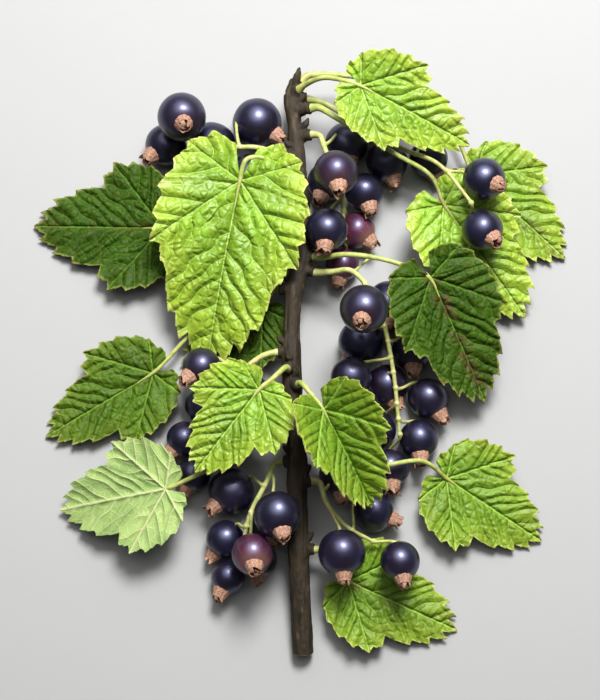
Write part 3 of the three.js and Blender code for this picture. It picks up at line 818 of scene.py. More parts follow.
class SprigLeafSettings(bpy.types.PropertyGroup):
    """Looks of the leaves."""

    blade: shade("Blade", "Colour of a young blade", 0.2, 0.38, 0.018)
    # Painted shade: the colour a leaf takes where it lies in shade, mixed in by a low tone.
    blade_shaded: shade("Deep blade", "Colour of a blade in painted shade", 0.0135, 0.051, 0.002)
    blade_yellow: shade("Yellow tinge", "Colour of a blade's rim and flecks", 0.45, 0.5, 0.04)
    vein: shade("Vein", "Colour of the veins from above", 0.3, 0.44, 0.08)
    blade_edge: shade("Blade edge", "Colour of a blade's very edge", 0.6, 0.62, 0.16)
    scorch: shade("Scorch", "Colour of brown streaks by the veins", 0.07, 0.038, 0.016)
    tooth_tip: shade("Tooth tip", "Colour of the dry points of the teeth", 0.3, 0.17, 0.06)
    underside: shade("Underside", "Colour of the lower face", 0.29, 0.4, 0.12)
    underside_deep: shade("Underside shade", "Darker patches of the lower face", 0.18, 0.28, 0.075)
    vein_pale: shade("Vein below", "Colour of the veins from below", 0.46, 0.5, 0.24)
    stalk: shade("Stalk", "Colour of the leaf stalks", 0.25, 0.3, 0.06)
    stalk_pale: shade("Pale stalk", "Paler streaks of the leaf stalks", 0.42, 0.45, 0.14)
    stalk_brown: shade("Brown stalk", "Brown tinge of the leaf stalks", 0.3, 0.14, 0.06)
    thickness: size_of("Thickness", "Thickness of a blade", 0.00036)
    quilting: share_of("Quilting", "Rise of the blade between veins, as a share of its length", 0.02)


class SprigStrigSettings(bpy.types.PropertyGroup):
    """Looks of the strigs."""

    berry: shade("Berry", "Colour of a ripe berry", 0.0015, 0.0015, 0.0042)
    berry_red: shade("Less ripe berry", "Colour of a less ripe berry", 0.09, 0.012, 0.026)
    berry_ray: shade("Berry rays", "Colour of the faint lines under the skin", 0.3, 0.09, 0.1)
    berry_pale: shade("Berry pale", "Colour of a less ripe berry by its dried flower", 0.4, 0.2, 0.12)
    berry_bloom: shade("Bloom", "Colour of the waxy bloom", 0.005, 0.0058, 0.027)
    flower: shade("Dried flower", "Colour of the dried flower", 0.34, 0.17, 0.105)
    flower_root: shade("Flower root", "Colour where it joins the berry", 0.2, 0.075, 0.05)
    flower_pale: shade("Flower fibre", "Pale fibres of the dried flower", 0.5, 0.3, 0.19)
    # Painted shade for the cup's grooves, and the darker colour of the well, threads and sepal tips.
    flower_dark_and_shade: shade("Flower fold", "Dark folds of the dried flower", 0.05, 0.022, 0.016)
    stalk: shade("Stalk", "Colour of the strig's stalks", 0.3, 0.33, 0.085)
    stalk_pale: shade("Pale stalk", "Paler streaks of the stalks", 0.47, 0.47, 0.19)
    stalk_brown: shade("Brown stalk", "Brown tinge of the stalks", 0.32, 0.19, 0.08)


class SprigStageSettings(bpy.types.PropertyGroup):
    """The floor, the lights and the camera."""

    floor: shade("Floor", "Colour of the floor", 0.35, 0.35, 0.346)
    floor_width: size_of("Floor width", "Width of the floor", 6.0)
    key_watts: share_of("Key light", "Power of the key light in watts", 6.1, "POWER")
    fill_watts: share_of("Fill light", "Power of the fill light in watts", 6.0, "POWER")
    sky: share_of("Sky", "Strength of the light all round", 0.09)
    lens: share_of("Lens", "Focal length of the camera in millimetres", 90.0, "CAMERA")
    tilt: bpy.props.FloatProperty(name="Tilt", description="How far the camera leans from straight down",
                                  default=math.radians(8), subtype="ANGLE", unit="ROTATION")
    margin: share_of("Margin", "Room round the sprig, as a share of its size", 1.07)


# Cane.

CUT_DEPTH = 0.25
CANE_VOXEL = 0.28
BARK_ROOM = 0.08
KNOT_SWELL, KNOT_WIDTH, KNOT_MOST = 0.32, 2.6, 0.6
SPUR_FOOT = 1.25
SCAR_HEIGHT, SCAR_RINGS = 0.12, 7
COLLAR_HEIGHT, COLLAR_PLACE, COLLAR_WIDTH = 0.25, 0.95, 0.08
END_BUD_LENGTH, END_BUD_RADIUS, END_BUD_SUNK = 4.9, 1.5, 2.5
SIDE_BUD_OUT = (2.0, 1.7)
SIDE_BUD_RISE = np.array([(0, 1.9, 0.4), (0, 2.6, 0.3)])
SIDE_BUD_RADIUS, SIDE_BUD_VARIES = 0.85, 0.1
RIDGE_SCALE = np.array([900, 70, 900])
FLAKE_SCALE = np.array([2300, 900, 2300])
FLAKE_SHARE = 0.35


def spur_line(start):
    """From the cane's heart to just inside the stalk that grows from it."""
    start = np.array(start, float)
    root = nearest_on_cane(start)
    return Line([root, mix(root, start, 0.5), start - unit(start - root) * STALK_GAP * 0.2])


def spur_radius(share):
    """Thick at the root, ringed by old scars, with a collar at the end."""
    rings = SCAR_HEIGHT * np.cos(share * SCAR_RINGS * math.pi)
    collar = COLLAR_HEIGHT * np.exp(-((share - COLLAR_PLACE) / COLLAR_WIDTH) ** 2)
    return mix(SPUR_RADIUS[0] * SPUR_FOOT, SPUR_RADIUS[1], share ** 0.7) + rings * share + collar


def side_bud(start, order):
    """The line and the radius of the small bud above a spur."""
    start = np.array(start, float)
    root = nearest_on_cane(start)
    out = unit(start - root)
    foot = root + out * SIDE_BUD_OUT[0] + SIDE_BUD_RISE[0]
    tip = foot + out * SIDE_BUD_OUT[1] + SIDE_BUD_RISE[1]
    radius = SIDE_BUD_RADIUS + SIDE_BUD_VARIES * math.sin(order * GOLDEN_ANGLE)
    return Line([foot - out, mix(foot, tip, 0.4), tip]), radius


def end_bud():
    end = np.array(CANE_POINTS[-1], float)
    ahead = np.array([0.0, 1.0, 0.0])
    return Line([end - ahead * END_BUD_SUNK, end, end + ahead * END_BUD_LENGTH])


def bud_share(share):
    """A pointed bud's share of its radius, fullest below its middle."""
    return np.sin(math.pi * np.clip(share, 0.02, 1) ** 0.75) ** 0.8 + 0.02


def cane_mesh(look):
    bm = bmesh.new()
    starts = [one["stalk"][0] for one in LEAVES.values()] + [one["path"][0] for one in STRIGS.values()]
    knots = [nearest_on_cane(np.array(start, float))[1] for start in starts]

    def cane_radius(share):
        ys = np.array([CANE_LINE.at(s)[1] for s in share])
        swell = sum(KNOT_SWELL * np.exp(-((ys - knot) / KNOT_WIDTH) ** 2) for knot in knots)
        return mix(*CANE_RADIUS, share) + np.minimum(swell, KNOT_MOST) - BARK_ROOM

    tube(bm, CANE_LINE, cane_radius, 32, 220)
    for start in starts:
        tube(bm, spur_line(start), spur_radius, 18, 16)
    for i, start in enumerate(starts):
        line, radius = side_bud(start, i)
        tube(bm, line, lambda share: radius * bud_share(share), 12, 12)
    tube(bm, end_bud(), lambda share: END_BUD_RADIUS * bud_share(share), 16, 16)
    mesh = fused(mesh_of("woody_cane_rough", bm), CANE_VOXEL * MM)
    roughen_bark(mesh, look)
    return mesh


def roughen_bark(mesh, look):
    """Long ridges and small flakes over the bark, none on the cut, which is marked for its finish."""
    count = len(mesh.vertices)
    spots = np.empty(count * 3)
    normals = np.empty(count * 3)
    mesh.vertices.foreach_get("co", spots)
    mesh.vertex_normals.foreach_get("vector", normals)
    spots = spots.reshape(-1, 3)
    normals = normals.reshape(-1, 3)
    heart = to_frame(CANE_LINE.at(0.0))
    ahead = CANE_LINE.ahead(0.0)
    depth = (spots - heart) @ ahead / MM
    cut = np.clip((CUT_DEPTH - depth) / CUT_DEPTH, 0, 1)
    out = np.linalg.norm((spots - heart) - np.outer(depth * MM, ahead), axis=1) / (CANE_RADIUS[0] * MM)
    ridges = np.array([noise.fractal(Vector(spot), 0.9, 2.1, 4) for spot in spots * RIDGE_SCALE])
    flakes = np.array([noise.noise(Vector(spot)) for spot in spots * FLAKE_SCALE])
    rise = (ridges * look.relief + flakes * look.relief * FLAKE_SHARE) * (1 - cut)
    spots = spots + normals * rise[:, None]
    spots[:, 2] = np.maximum(spots[:, 2], 0.0)
    mesh.vertices.foreach_set("co", spots.ravel())
    for name, values in (("cut", (cut > 0.3).astype(float)), ("heart", out)):
        mesh.attributes.new(name, "FLOAT", "POINT").data.foreach_set("value", values)
    mesh.update()


# Leaves.

BASAL_FLANK = [(0.0, -1.0), (0.22, -0.35), (0.42, 0.22), (0.52, -0.12), (0.76, 0.62), (1.0, 1.0)]
APICAL_FLANK = [(0.0, 1.0), (0.35, 0.0), (1.0, -1.0)]
VEIN_SECTORS = [(0, 0.0, 39.8), (58, 39.8, 84.0), (106, 84.0, 180.0)]
VEIN_LEAN = math.radians(46)
VEIN_SPACING = 0.135
VEIN_CURVE = 0.9
VEIN_WANDER, VEIN_SWAY = 0.2, 0.12
# Each leaf's tone and scorch. A low tone is painted shade, for leaves that lie in shade; scorch is the share
# of brown streaking by the midrib.
LEAF_TONES = {
    "leaf_upper_left": (0.95, 0.1),
    "leaf_small_front": (0.88, 0.0),
    "leaf_folded_front": (0.55, 0.1),
    "leaf_upper_right": (1.0, 0.15),
    "leaf_right": (0.06, 0.8),
    "leaf_top_right": (0.95, 0.1),
    "leaf_far_right": (0.75, 0.5),
    "leaf_behind_left": (0.1, 0.2),
    "leaf_left": (0.2, 0.2),
    "leaf_far_left": (0.05, 0.3),
    "leaf_lower_left": (0.5, 0.2),
    "leaf_bottom": (0.6, 0.2),
    "leaf_lower_right": (0.6, 0.1),
}
TURNED_LEAVES = ("leaf_lower_left",)
LARGE_LEAF = 40
TOOTH_VIGOUR = (0.8, 1.2)
LIE_ABOVE = 0.00005
CREASE = math.radians(55)
MIDRIB_RUN = [(0.04, -0.1), (0.12, -0.35), (0.22, -0.5)]
MIDRIB_LEAST = 0.16
LEAF_STALK_SLIM = (0.76, 0.72)
STALK_SUNK_IN_SPUR = 0.4
CLASP_RADIUS, LEAF_CLASP_SHARE, STRIG_CLASP_SHARE = 0.55, 0.06, 0.04
STALK_DIPS = {"leaf_right": 0.55}
DIP_PLACE, DIP_WIDTH = 0.82, 0.08


def fine_rim(seed, steps):
    """Angles along the rim from one side of the stalk to the other, and the height of the teeth there."""
    draw = seeded(seed)
    half = [(BASE_ANGLE, -0.6)]
    for i in reversed(range(len(TOOTH_ANGLES))):
        vigour = mix(*TOOTH_VIGOUR, next(draw))
        half += [(mix(notch_after(i), TOOTH_ANGLES[i], share), height * vigour)
                 for share, height in BASAL_FLANK]
        if i > 0:
            half += [(mix(TOOTH_ANGLES[i], notch_after(i - 1), share), height * vigour)
                     for share, height in APICAL_FLANK[1:-1]]
    controls = [(-angle, height) for angle, height in half] + half[-2::-1]
    places = np.arange((len(controls) - 1) * steps + 1) / steps
    return [np.interp(places, np.arange(len(controls)), values) for values in np.array(controls).T]


def vein_map(leaf, angle, reach, sector_angle):
    """Which side vein a place lies by, as a running number, and how far its main vein is."""
    along = leaf["length"] * reach * np.cos(np.radians(angle))
    across = leaf["length"] * leaf["width"] * reach * np.abs(np.sin(np.radians(angle)))
    number = np.zeros_like(along)
    apart = np.zeros_like(along)
    for middle, low, high in VEIN_SECTORS:
        way = unit(np.array([math.cos(math.radians(middle)), leaf["width"] * math.sin(math.radians(middle))]))
        here = (np.abs(sector_angle) >= low) & (np.abs(sector_angle) < high)
        aside = across * way[0] - along * way[1]
        run = along * way[0] + across * way[1]
        curve = 1 + VEIN_CURVE * np.abs(aside) / leaf["length"]
        step = (run - np.abs(aside) / math.tan(VEIN_LEAN) * curve) / (VEIN_SPACING * leaf["length"])
        wander = VEIN_WANDER * np.sin(1.7 * step + leaf["phase"] + middle)
        step = step + wander + VEIN_SWAY * np.sin(0.9 * along + 2 * leaf["phase"])
        outer = (aside > 0) if middle else (sector_angle > 0)
        number = np.where(here, step + np.where(outer, 0.45, 0.0), number)
        apart = np.where(here, np.abs(aside), apart)
    return number, apart


def quilted(leaf, angle, reach, share, quilting):
    """The blade's rise between its side veins and its dip at the main ones."""
    number, apart = vein_map(leaf, angle, reach, angle)
    pillow = np.abs(np.sin(math.pi * number)) ** 0.75 - 0.6
    edges = [high for _, _, high in VEIN_SECTORS[:-1]]
    away = np.min([np.abs(np.abs(angle) - edge) for edge in edges], axis=0)
    fade = np.clip(away / 5, 0.15, 1) * np.clip(share / 0.15, 0, 1) * (1 - 0.55 * share ** 6)
    dip = np.exp(-(apart / (0.022 * leaf["length"])) ** 2)
    rise = leaf["length"] * quilting * (pillow * fade * (1 - dip) - 0.8 * dip * (1 - 0.5 * share))
    curl = 0.012 * leaf["length"] * share ** 5 * np.sin(np.radians(angle) * 17 + 3 * leaf["phase"])
    return rise + curl


def blade_mesh(name, leaf, look):
    """A toothed, quilted sheet given its thickness, with the upper face first."""
    seed = 7 + list(LEAVES).index(name)
    large = leaf["length"] > LARGE_LEAF
    rim_angle, rim_height = fine_rim(seed, 3 if large else 2)
    columns = len(rim_angle) - 1
    rows = 60 if large else 42
    sign = -1 if name in TURNED_LEAVES else 1
    bm = bmesh.new()
    marks = {key: bm.verts.layers.float.new(key) for key in ("rim", "tip", "angle", "reach")}
    made = bmesh.ops.create_grid(bm, x_segments=columns, y_segments=rows, size=0.5)["verts"]
    flat = np.array([vert.co[:2] for vert in made]) + 0.5
    column = np.rint(flat[:, 0] * columns).astype(int)
    share = flat[:, 1]
    angle = rim_angle[column]
    height = rim_height[column]
    reach = lobed_reach(angle, leaf["cut"]) * share * (1 + TOOTH_DEPTH * height * share ** 7)
    above = sign * quilted(leaf, angle, reach, share, look.quilting) + look.thickness / MM / 2
    spots = to_frame(leaf_place(leaf, angle, reach, above))
    spots[:, 2] = np.maximum(spots[:, 2], look.thickness + LIE_ABOVE)
    tip = share ** 18 * np.clip(height, 0, 1)
    for i, vert in enumerate(made):
        vert.co = spots[i]
        vert[marks["rim"]] = share[i]
        vert[marks["tip"]] = tip[i]
        vert[marks["angle"]] = angle[i]
        vert[marks["reach"]] = reach[i]
    bmesh.ops.remove_doubles(bm, verts=made, dist=JOIN_WITHIN)
    bmesh.ops.reverse_faces(bm, faces=bm.faces)
    mesh = mesh_of(name + "_sheet", bm)
    map_blade(mesh, leaf)
    mesh = with_modifiers(mesh, [("SOLIDIFY", dict(thickness=look.thickness, offset=-1.0, material_offset=1,
                                                   material_offset_rim=0))])
    mesh.shade_smooth()
    mesh.set_sharp_from_angle(angle=CREASE)
    return mesh


def map_blade(mesh, leaf):
    """The blade's two maps: its flat outline, and its side veins by number with the main vein's distance."""
    corner = np.empty(len(mesh.loops), int)
    mesh.loops.foreach_get("vertex_index", corner)
    values = {}
    for key in ("angle", "reach"):
        values[key] = np.empty(len(mesh.vertices))
        mesh.attributes[key].data.foreach_get("value", values[key])
    totals = np.empty(len(mesh.polygons), int)
    mesh.polygons.foreach_get("loop_total", totals)
    owner = np.repeat(np.arange(len(totals)), totals)
    angle, reach = values["angle"][corner], values["reach"][corner]
    off_base = reach > 0
    counts = np.bincount(owner, weights=off_base)
    middle = np.bincount(owner, weights=angle * off_base) / np.maximum(counts, 1)
    angle = np.where(off_base, angle, middle[owner])
    turn = np.radians(angle)
    number, apart = vein_map(leaf, angle, reach, middle[owner])
    flat = np.stack([reach * np.cos(turn), leaf["width"] * reach * np.sin(turn)], axis=1)
    flat = flat * leaf["length"] / 100
    veins = np.stack([number, apart / 10], axis=1)
    for name, places in (("blade", flat), ("veins", veins)):
        mesh.uv_layers.new(name=name).data.foreach_set("uv", places.ravel())
    for key in ("angle", "reach"):
        mesh.attributes.remove(mesh.attributes[key])


def stalk_root(line):
    """Where a stalk starts inside its spur."""
    return line.at(0.0) - line.ahead(0.0) * (STALK_GAP + STALK_SUNK_IN_SPUR)


def leaf_stalk_mesh(name, leaf):
    """A stalk that clasps its spur, slims along its length and runs out along the blade's midrib."""
    line = leaf_stalk_line(leaf)
    last = 1 - 1.6 * LEAF_STALK_SUNK * leaf["length"] / line.lengths[-1]
    dip = STALK_DIPS.get(name, 0.0) * UP
    walk = [line.at(share) - dip * math.exp(-((share - DIP_PLACE) / DIP_WIDTH) ** 2)
            for share in np.linspace(0, last, 24)]
    runs = [leaf_place(leaf, 0.0, reach, depth) for reach, depth in MIDRIB_RUN]
    whole = Line([stalk_root(line), *walk, *runs])
    out = leaf["length"] * MIDRIB_RUN[-1][0] / whole.lengths[-1]
    thick, thin = (radius * slim for radius, slim in zip(LEAF_STALK_RADIUS, LEAF_STALK_SLIM))

    def radius(share):
        clasp = CLASP_RADIUS * np.exp(-share / LEAF_CLASP_SHARE)
        return mix(thick, thin, share) * np.clip((1 - share) / (1.1 * out), MIDRIB_LEAST, 1) + clasp

    bm = bmesh.new()
    tube(bm, whole, radius, 16, 90)
    mesh = mesh_of("leaf_stalk", bm)
    mesh.shade_smooth()
    return mesh


# Strigs.

STALK_VOXEL = 0.17
STRIG_SLIM_RADIUS = (0.76, 0.48)
NODE_RADIUS, NODE_BACK, NODE_AHEAD = 0.8, 0.7, 0.9
SIDE_RADIUS, SIDE_FOOT, SIDE_HEAD = 0.42, 0.22, 0.3
BARE_RADIUS, BARE_KNOB = 0.4, 0.28
LESS_RIPE = {"strig_top_centre": {1: 0.85, 5: 0.08, 7: 0.5}, "strig_lower_left": {3: 0.5}}
RIPE_VARIES = 0.06
BERRY_SIDES, BERRY_RINGS = 44, 30
BERRY_FLAT, BERRY_FLAT_FROM = 0.035, 0.82
BERRY_LUMPS, LUMP_SCALE, LUMP_SPREAD = 0.012, 1.3, 50


def strig_radius(share):
    return mix(*STRIG_SLIM_RADIUS, share) + CLASP_RADIUS * np.exp(-share / STRIG_CLASP_SHARE)


def node_radius(share):
    return NODE_RADIUS * np.sin(math.pi * np.clip(share, 0.06, 0.94)) ** 0.6


def side_radius(share):
    return SIDE_RADIUS + SIDE_FOOT * np.exp(-share / 0.08) + SIDE_HEAD * np.exp((share - 1) / 0.12)


def bare_radius(share):
    return BARE_RADIUS + BARE_KNOB * np.exp(-((share - 0.97) / 0.08) ** 2)


def strig_stalk_mesh(one, stalks):
    """The strig's stalk with a swollen node where each side stalk leaves."""
    bm = bmesh.new()
    line = stalk_line(one["path"])
    main = Line([stalk_root(line)] + [line.at(share) for share in np.linspace(0, 1, 12)])
    tube(bm, main, strig_radius, 12, 60)
    for stalk in stalks:
        node, away = stalk["node"], stalk["away"]
        tube(bm, Line([node - away * NODE_BACK, node, node + away * NODE_AHEAD]), node_radius, 10, 8)
        leave = node + away * SIDE_STALK_BOW
        if stalk["bare"]:
            tube(bm, Line([node, leave, node + away * stalk["length"]]), bare_radius, 10, 20)
        else:
            arrive = stalk["end"] - stalk["axis"] * SIDE_STALK_BOW
            tube(bm, Bow(node, leave, arrive, stalk["end"]), side_radius, 10, 24)
    return fused(mesh_of("strig_stalk", bm), STALK_VOXEL * MM)


def turn_to(axis):
    return Vector((0, 0, 1)).rotation_difference(Vector(axis)).to_matrix().to_4x4()


def berry_place(stalk):
    """From a berry's own axis to its place in the frame."""
    return Matrix.Translation(to_frame(stalk["centre"])) @ turn_to(stalk["axis"])


def berry_mesh(name, stalks, seed):
    """Round berries, each a little flat at its ends and where it rests."""
    bm = bmesh.new()
    bm.loops.layers.uv.new("skin")
    ripe = bm.verts.layers.float.new("ripeness")
    draw = seeded(seed)
    for i, stalk in enumerate(stalks):
        if stalk["bare"]:
            continue
        place = berry_place(stalk)
        made = bmesh.ops.create_uvsphere(bm, u_segments=BERRY_SIDES, v_segments=BERRY_RINGS, radius=1.0,
                                         calc_uvs=True)["verts"]
        ripeness = LESS_RIPE.get(name, {}).get(i, 1 - RIPE_VARIES * next(draw))
        lumps = Vector([LUMP_SPREAD * next(draw) for _ in range(3)])
        for vert in made:
            past = max(abs(vert.co.z) - BERRY_FLAT_FROM, 0)
            round_off = 1 - BERRY_FLAT * past / (1 - BERRY_FLAT_FROM)
            swell = 1 + BERRY_LUMPS * noise.noise(vert.co * LUMP_SCALE + lumps)
            vert.co = place @ (vert.co * (stalk["radius"] * MM * round_off * swell))
            vert.co.z = max(vert.co.z, 0.0)
            vert[ripe] = ripeness
    mesh = mesh_of("berries", bm)
    mesh.shade_smooth()
    return mesh


# Dried flowers, in millimetres along and round their berry's axis.

FLOWER_THICKNESS = 0.11
CUP_SUNK = 0.25
CUP_RISE, CUP_RISE_VARIES = 0.46, 0.14
CUP_RIBS, CUP_RIB_HEIGHT, CUP_WAVE = 10, 0.2, 0.06
CUP_NECK, CUP_FLARE = 1.55, 0.08
SEPALS, SEPAL_HALF, SEPAL_OUT, SEPAL_SUNK = 5, 0.92, 1.5, 0.35
SEPAL_LENGTH, SEPAL_VARIES = 1.2, 0.6
SEPAL_CURL, SEPAL_TWIST, SEPAL_CUPPED = 2.4, 1.2, 0.25
THREADS, THREAD_HALF, THREAD_OUT, THREAD_SUNK = 6, 0.3, 0.3, 0.9
THREAD_LENGTH, THREAD_VARIES = 0.91, 0.78
WELL_RADIUS, WELL_SUNK, WELL_DISH = 1.45, 0.95, 0.35


def round_axis(turn, out, aside, rise):
    """A place by its turn round the berry's axis, how far out and aside it is, and its rise."""
    return (math.cos(turn) * out - math.sin(turn) * aside,
            math.sin(turn) * out + math.cos(turn) * aside, rise)


class DriedFlower:
    """A wrinkled cup on a berry's end, with sepals round it, and threads in its dark well."""

    def __init__(self, bm, along, fold, stalk, draw):
        self.bm, self.along, self.fold, self.draw = bm, along, fold, draw
        self.place = berry_place(stalk)
        self.foot = math.sqrt(stalk["radius"] ** 2 - CALYX_ROOT ** 2) - CUP_SUNK
        self.top = stalk["radius"] + CALYX_LENGTH * (CUP_RISE + CUP_RISE_VARIES * next(draw))
        self.phase = 2 * math.pi * next(draw)
        self.grow_cup()
        for i in range(SEPALS):
            self.grow_sepal(i)
        for i in range(THREADS):
            self.grow_thread(i)
        self.grow_well()

    def grow(self, columns, rows, spot_at, along_at, fold_at):
        """A small sheet bent to spot_at(u, v), and marked for its finish."""
        made = bmesh.ops.create_grid(self.bm, x_segments=columns, y_segments=rows, size=0.5)["verts"]
        for vert in made:
            u, v = vert.co.x + 0.5, vert.co.y + 0.5
            vert.co = self.place @ (Vector(spot_at(u, v)) * MM)
            vert[self.along] = along_at(u, v)
            vert[self.fold] = fold_at(u, v)
        bmesh.ops.remove_doubles(self.bm, verts=made, dist=JOIN_WITHIN)

    def rib(self, u):
        """1 on a rib of the cup and 0 between ribs."""
        return 0.5 + 0.5 * math.cos(CUP_RIBS * 2 * math.pi * u + self.phase)

    def grow_cup(self):
        def spot(u, v):
            turn = 2 * math.pi * u
            wide = mix(CALYX_ROOT, CUP_NECK, min(v * 1.2, 1) ** 0.8) + CUP_FLARE * v * v
            wide += CUP_RIB_HEIGHT * self.rib(u) * math.sin(math.pi * min(v + 0.15, 1))
            wide += CUP_WAVE * math.sin(3 * turn + self.phase)
            return round_axis(turn, wide, 0.0, mix(self.foot, self.top, v))

        # The fold mark paints shade in the grooves between the cup's ribs.
        self.grow(40, 9, spot, lambda u, v: 0.5 * v, lambda u, v: 0.55 * (1 - self.rib(u)) * v)

    def grow_sepal(self, order):
        middle = self.phase + 2 * math.pi * (order + 0.25 * (next(self.draw) - 0.5)) / SEPALS
        length = SEPAL_LENGTH + SEPAL_VARIES * next(self.draw)
        curl = SEPAL_CURL * (next(self.draw) - 0.7)
        twist = SEPAL_TWIST * (next(self.draw) - 0.5)

        def spot(u, v):
            half = SEPAL_HALF * (1 - v) ** 0.55 * (1 + 0.25 * math.sin(5 * v + self.phase))
            lean = 0.05 + curl * v
            out = SEPAL_OUT + length * math.sin(lean) * v - SEPAL_CUPPED * (2 * u - 1) ** 2 * (1 - v)
            rise = self.top - SEPAL_SUNK + length * math.cos(lean * 0.8) * v
            return round_axis(middle + twist * v, out, (2 * u - 1) * half, rise)

        self.grow(6, 8, spot, lambda u, v: 0.5 + 0.5 * v, lambda u, v: 0.25 + 0.5 * v * abs(2 * u - 1))

    def grow_thread(self, order):
        turn = self.phase + 2 * math.pi * order / THREADS + next(self.draw)
        lean = 0.2 + 0.5 * next(self.draw)
        length = THREAD_LENGTH + THREAD_VARIES * next(self.draw)

        def spot(u, v):
            half = THREAD_HALF * (1 - 0.7 * v)
            rise = self.top - THREAD_SUNK + length * v
            return round_axis(turn, THREAD_OUT + lean * v, (2 * u - 1) * half, rise)

        self.grow(2, 5, spot, lambda u, v: 0.9, lambda u, v: 1.0 - 0.4 * v)

    def grow_well(self):
        def spot(u, v):
            return round_axis(2 * math.pi * u, WELL_RADIUS * v, 0.0, self.top - WELL_SUNK + WELL_DISH * v)

        self.grow(20, 3, spot, lambda u, v: 0.6, lambda u, v: 1.0)


def flower_mesh(stalks, seed):
    """The dried flowers on all berries of one strig."""
    bm = bmesh.new()
    along = bm.verts.layers.float.new("along")
    fold = bm.verts.layers.float.new("fold")
    draw = seeded(seed + 100)
    for stalk in stalks:
        if not stalk["bare"]:
            DriedFlower(bm, along, fold, stalk, draw)
    thick = dict(thickness=FLOWER_THICKNESS * MM, offset=0.0)
    mesh = with_modifiers(mesh_of("flowers", bm), [("SOLIDIFY", thick)])
    mesh.shade_smooth()
    return mesh


# Operators.

class SPRIG_OT_cane(bpy.types.Operator):
    """Grow the woody cane with its spurs, buds and cut end"""

    bl_idname = "sprig.cane"
    bl_label = "Grow Cane"

    def execute(self, context):
        look = context.scene.sprig_cane
        place_piece("cane", cane_mesh(look), [bark_finish(look)], "woody_cane")
        return {"FINISHED"}


class SPRIG_OT_leaves(bpy.types.Operator):
    """Grow every leaf: a toothed, quilted blade and its stalk"""

    bl_idname = "sprig.leaves"
    bl_label = "Grow Leaves"

    def execute(self, context):
        look = context.scene.sprig_leaf
        under = underside_finish(look)
        stalk = stalk_finish(look, "leaf_stalk", 0.4)
        for name, one in LEAVES.items():
            upper = blade_finish(look, name + "_upper", *LEAF_TONES[name])
            faces = [under, upper] if name in TURNED_LEAVES else [upper, under]
            place_piece(name + "_blade", blade_mesh(name, one, look), faces, name)
            place_piece(name + "_stalk", leaf_stalk_mesh(name, one), [stalk], name)
        return {"FINISHED"}


class SPRIG_OT_strigs(bpy.types.Operator):
    """Grow every strig: its stalks, its berries and their dried flowers"""

    bl_idname = "sprig.strigs"
    bl_label = "Grow Strigs"

    def execute(self, context):
        look = context.scene.sprig_strig
        stalk = stalk_finish(look, "strig_stalk", 0.6)
        berry = berry_finish(look)
        flower = flower_finish(look)
        for name, stalks in lay_out_strigs().items():
            one = STRIGS[name]
            place_piece(name + "_stalks", strig_stalk_mesh(one, stalks), [stalk], name)
            place_piece(name + "_berries", berry_mesh(name, stalks, one["seed"]), [berry], name)
            place_piece(name + "_flowers", flower_mesh(stalks, one["seed"]), [flower], name)
        return {"FINISHED"}


KEY_PLACE, KEY_WIDTH = (0.07, 0.29, 0.48), 0.2
FILL_PLACE, FILL_WIDTH = (0.0, 0.44, 0.7), 1.1
SKY_COLOUR = (0.93, 0.96, 1.0, 1.0)
IMAGE_WIDTH, IMAGE_HEIGHT = 600, 700


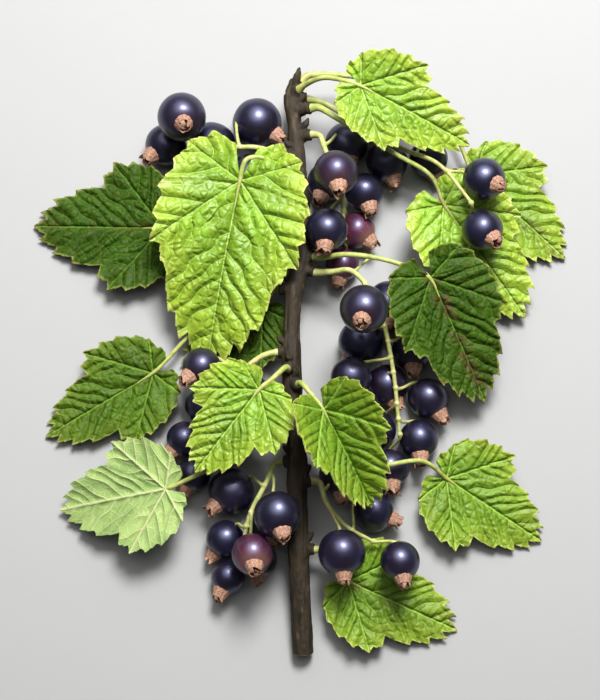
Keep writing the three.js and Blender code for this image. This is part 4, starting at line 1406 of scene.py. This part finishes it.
class SPRIG_OT_stage(bpy.types.Operator):
    """Set the pale floor, the soft lights and the camera that looks down"""

    bl_idname = "sprig.stage"
    bl_label = "Set Stage"

    def execute(self, context):
        look = context.scene.sprig_stage
        low, high = (Vector(corner) for corner in CAD_BOX)
        self.set_floor(look)
        self.set_camera(context, look, low, high)
        self.set_light("key_light", KEY_PLACE, KEY_WIDTH, look.key_watts)
        self.set_light("fill_light", FILL_PLACE, FILL_WIDTH, look.fill_watts)
        world = bpy.data.worlds.new("soft_sky")
        world.use_nodes = True
        sky = world.node_tree.nodes["Background"]
        sky.inputs["Color"].default_value = SKY_COLOUR
        sky.inputs["Strength"].default_value = look.sky
        context.scene.world = world
        context.scene.view_settings.view_transform = "Standard"
        return {"FINISHED"}

    def set_floor(self, look):
        bm = bmesh.new()
        bmesh.ops.create_grid(bm, x_segments=1, y_segments=1, size=look.floor_width / 2)
        floor = bpy.data.objects.new("floor", mesh_of("floor", bm))
        floor.data.materials.append(floor_finish(look))
        bpy.context.scene.collection.objects.link(floor)

    def set_camera(self, context, look, low, high):
        """Above the sprig's middle, leaning a little, with the whole sprig in the picture."""
        size = high - low
        tall = look.margin * max(size.y, size.x * IMAGE_HEIGHT / IMAGE_WIDTH)
        lens = bpy.data.cameras.new("camera")
        lens.lens = look.lens
        away = tall / 2 / math.tan(lens.angle / 2)
        target = (low + high) / 2
        toward = Vector((0, -math.sin(look.tilt), math.cos(look.tilt)))
        camera = bpy.data.objects.new("camera", lens)
        camera.location = target + toward * away
        camera.rotation_euler = (look.tilt, 0, 0)
        context.scene.collection.objects.link(camera)
        context.scene.camera = camera

    def set_light(self, name, place, width, watts):
        lamp = bpy.data.lights.new(name, "AREA")
        lamp.shape = "DISK"
        lamp.size = width
        lamp.energy = watts
        light = bpy.data.objects.new(name, lamp)
        light.location = place
        light.rotation_euler = (-Vector(place)).to_track_quat("-Z", "Y").to_euler()
        bpy.context.scene.collection.objects.link(light)


class SPRIG_PT_panel(bpy.types.Panel):
    """Lists the sprig's operators and settings"""

    bl_idname = "SPRIG_PT_panel"
    bl_label = "Blackcurrant Sprig"
    bl_space_type = "VIEW_3D"
    bl_region_type = "UI"
    bl_category = "Sprig"

    def draw(self, context):
        for operator, group in GROUPS:
            column = self.layout.column()
            column.operator(operator.bl_idname)
            settings = getattr(context.scene, group)
            for key in settings.bl_rna.properties.keys():
                if key not in ("rna_type", "name"):
                    column.prop(settings, key)


GROUPS = [
    (SPRIG_OT_stage, "sprig_stage"),
    (SPRIG_OT_cane, "sprig_cane"),
    (SPRIG_OT_leaves, "sprig_leaf"),
    (SPRIG_OT_strigs, "sprig_strig"),
]
SETTINGS = {
    "sprig_stage": SprigStageSettings,
    "sprig_cane": SprigCaneSettings,
    "sprig_leaf": SprigLeafSettings,
    "sprig_strig": SprigStrigSettings,
}
CLASSES = [*SETTINGS.values(), *(operator for operator, _ in GROUPS), SPRIG_PT_panel]


def register():
    for one in CLASSES:
        bpy.utils.register_class(one)
    for name, group in SETTINGS.items():
        setattr(bpy.types.Scene, name, bpy.props.PointerProperty(type=group))


def unregister():
    for name in SETTINGS:
        delattr(bpy.types.Scene, name)
    for one in reversed(CLASSES):
        bpy.utils.unregister_class(one)


def main():
    register()
    bpy.ops.sprig.stage()
    bpy.ops.sprig.cane()
    bpy.ops.sprig.leaves()
    bpy.ops.sprig.strigs()
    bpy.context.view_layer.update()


if __name__ == "__main__":
    main()
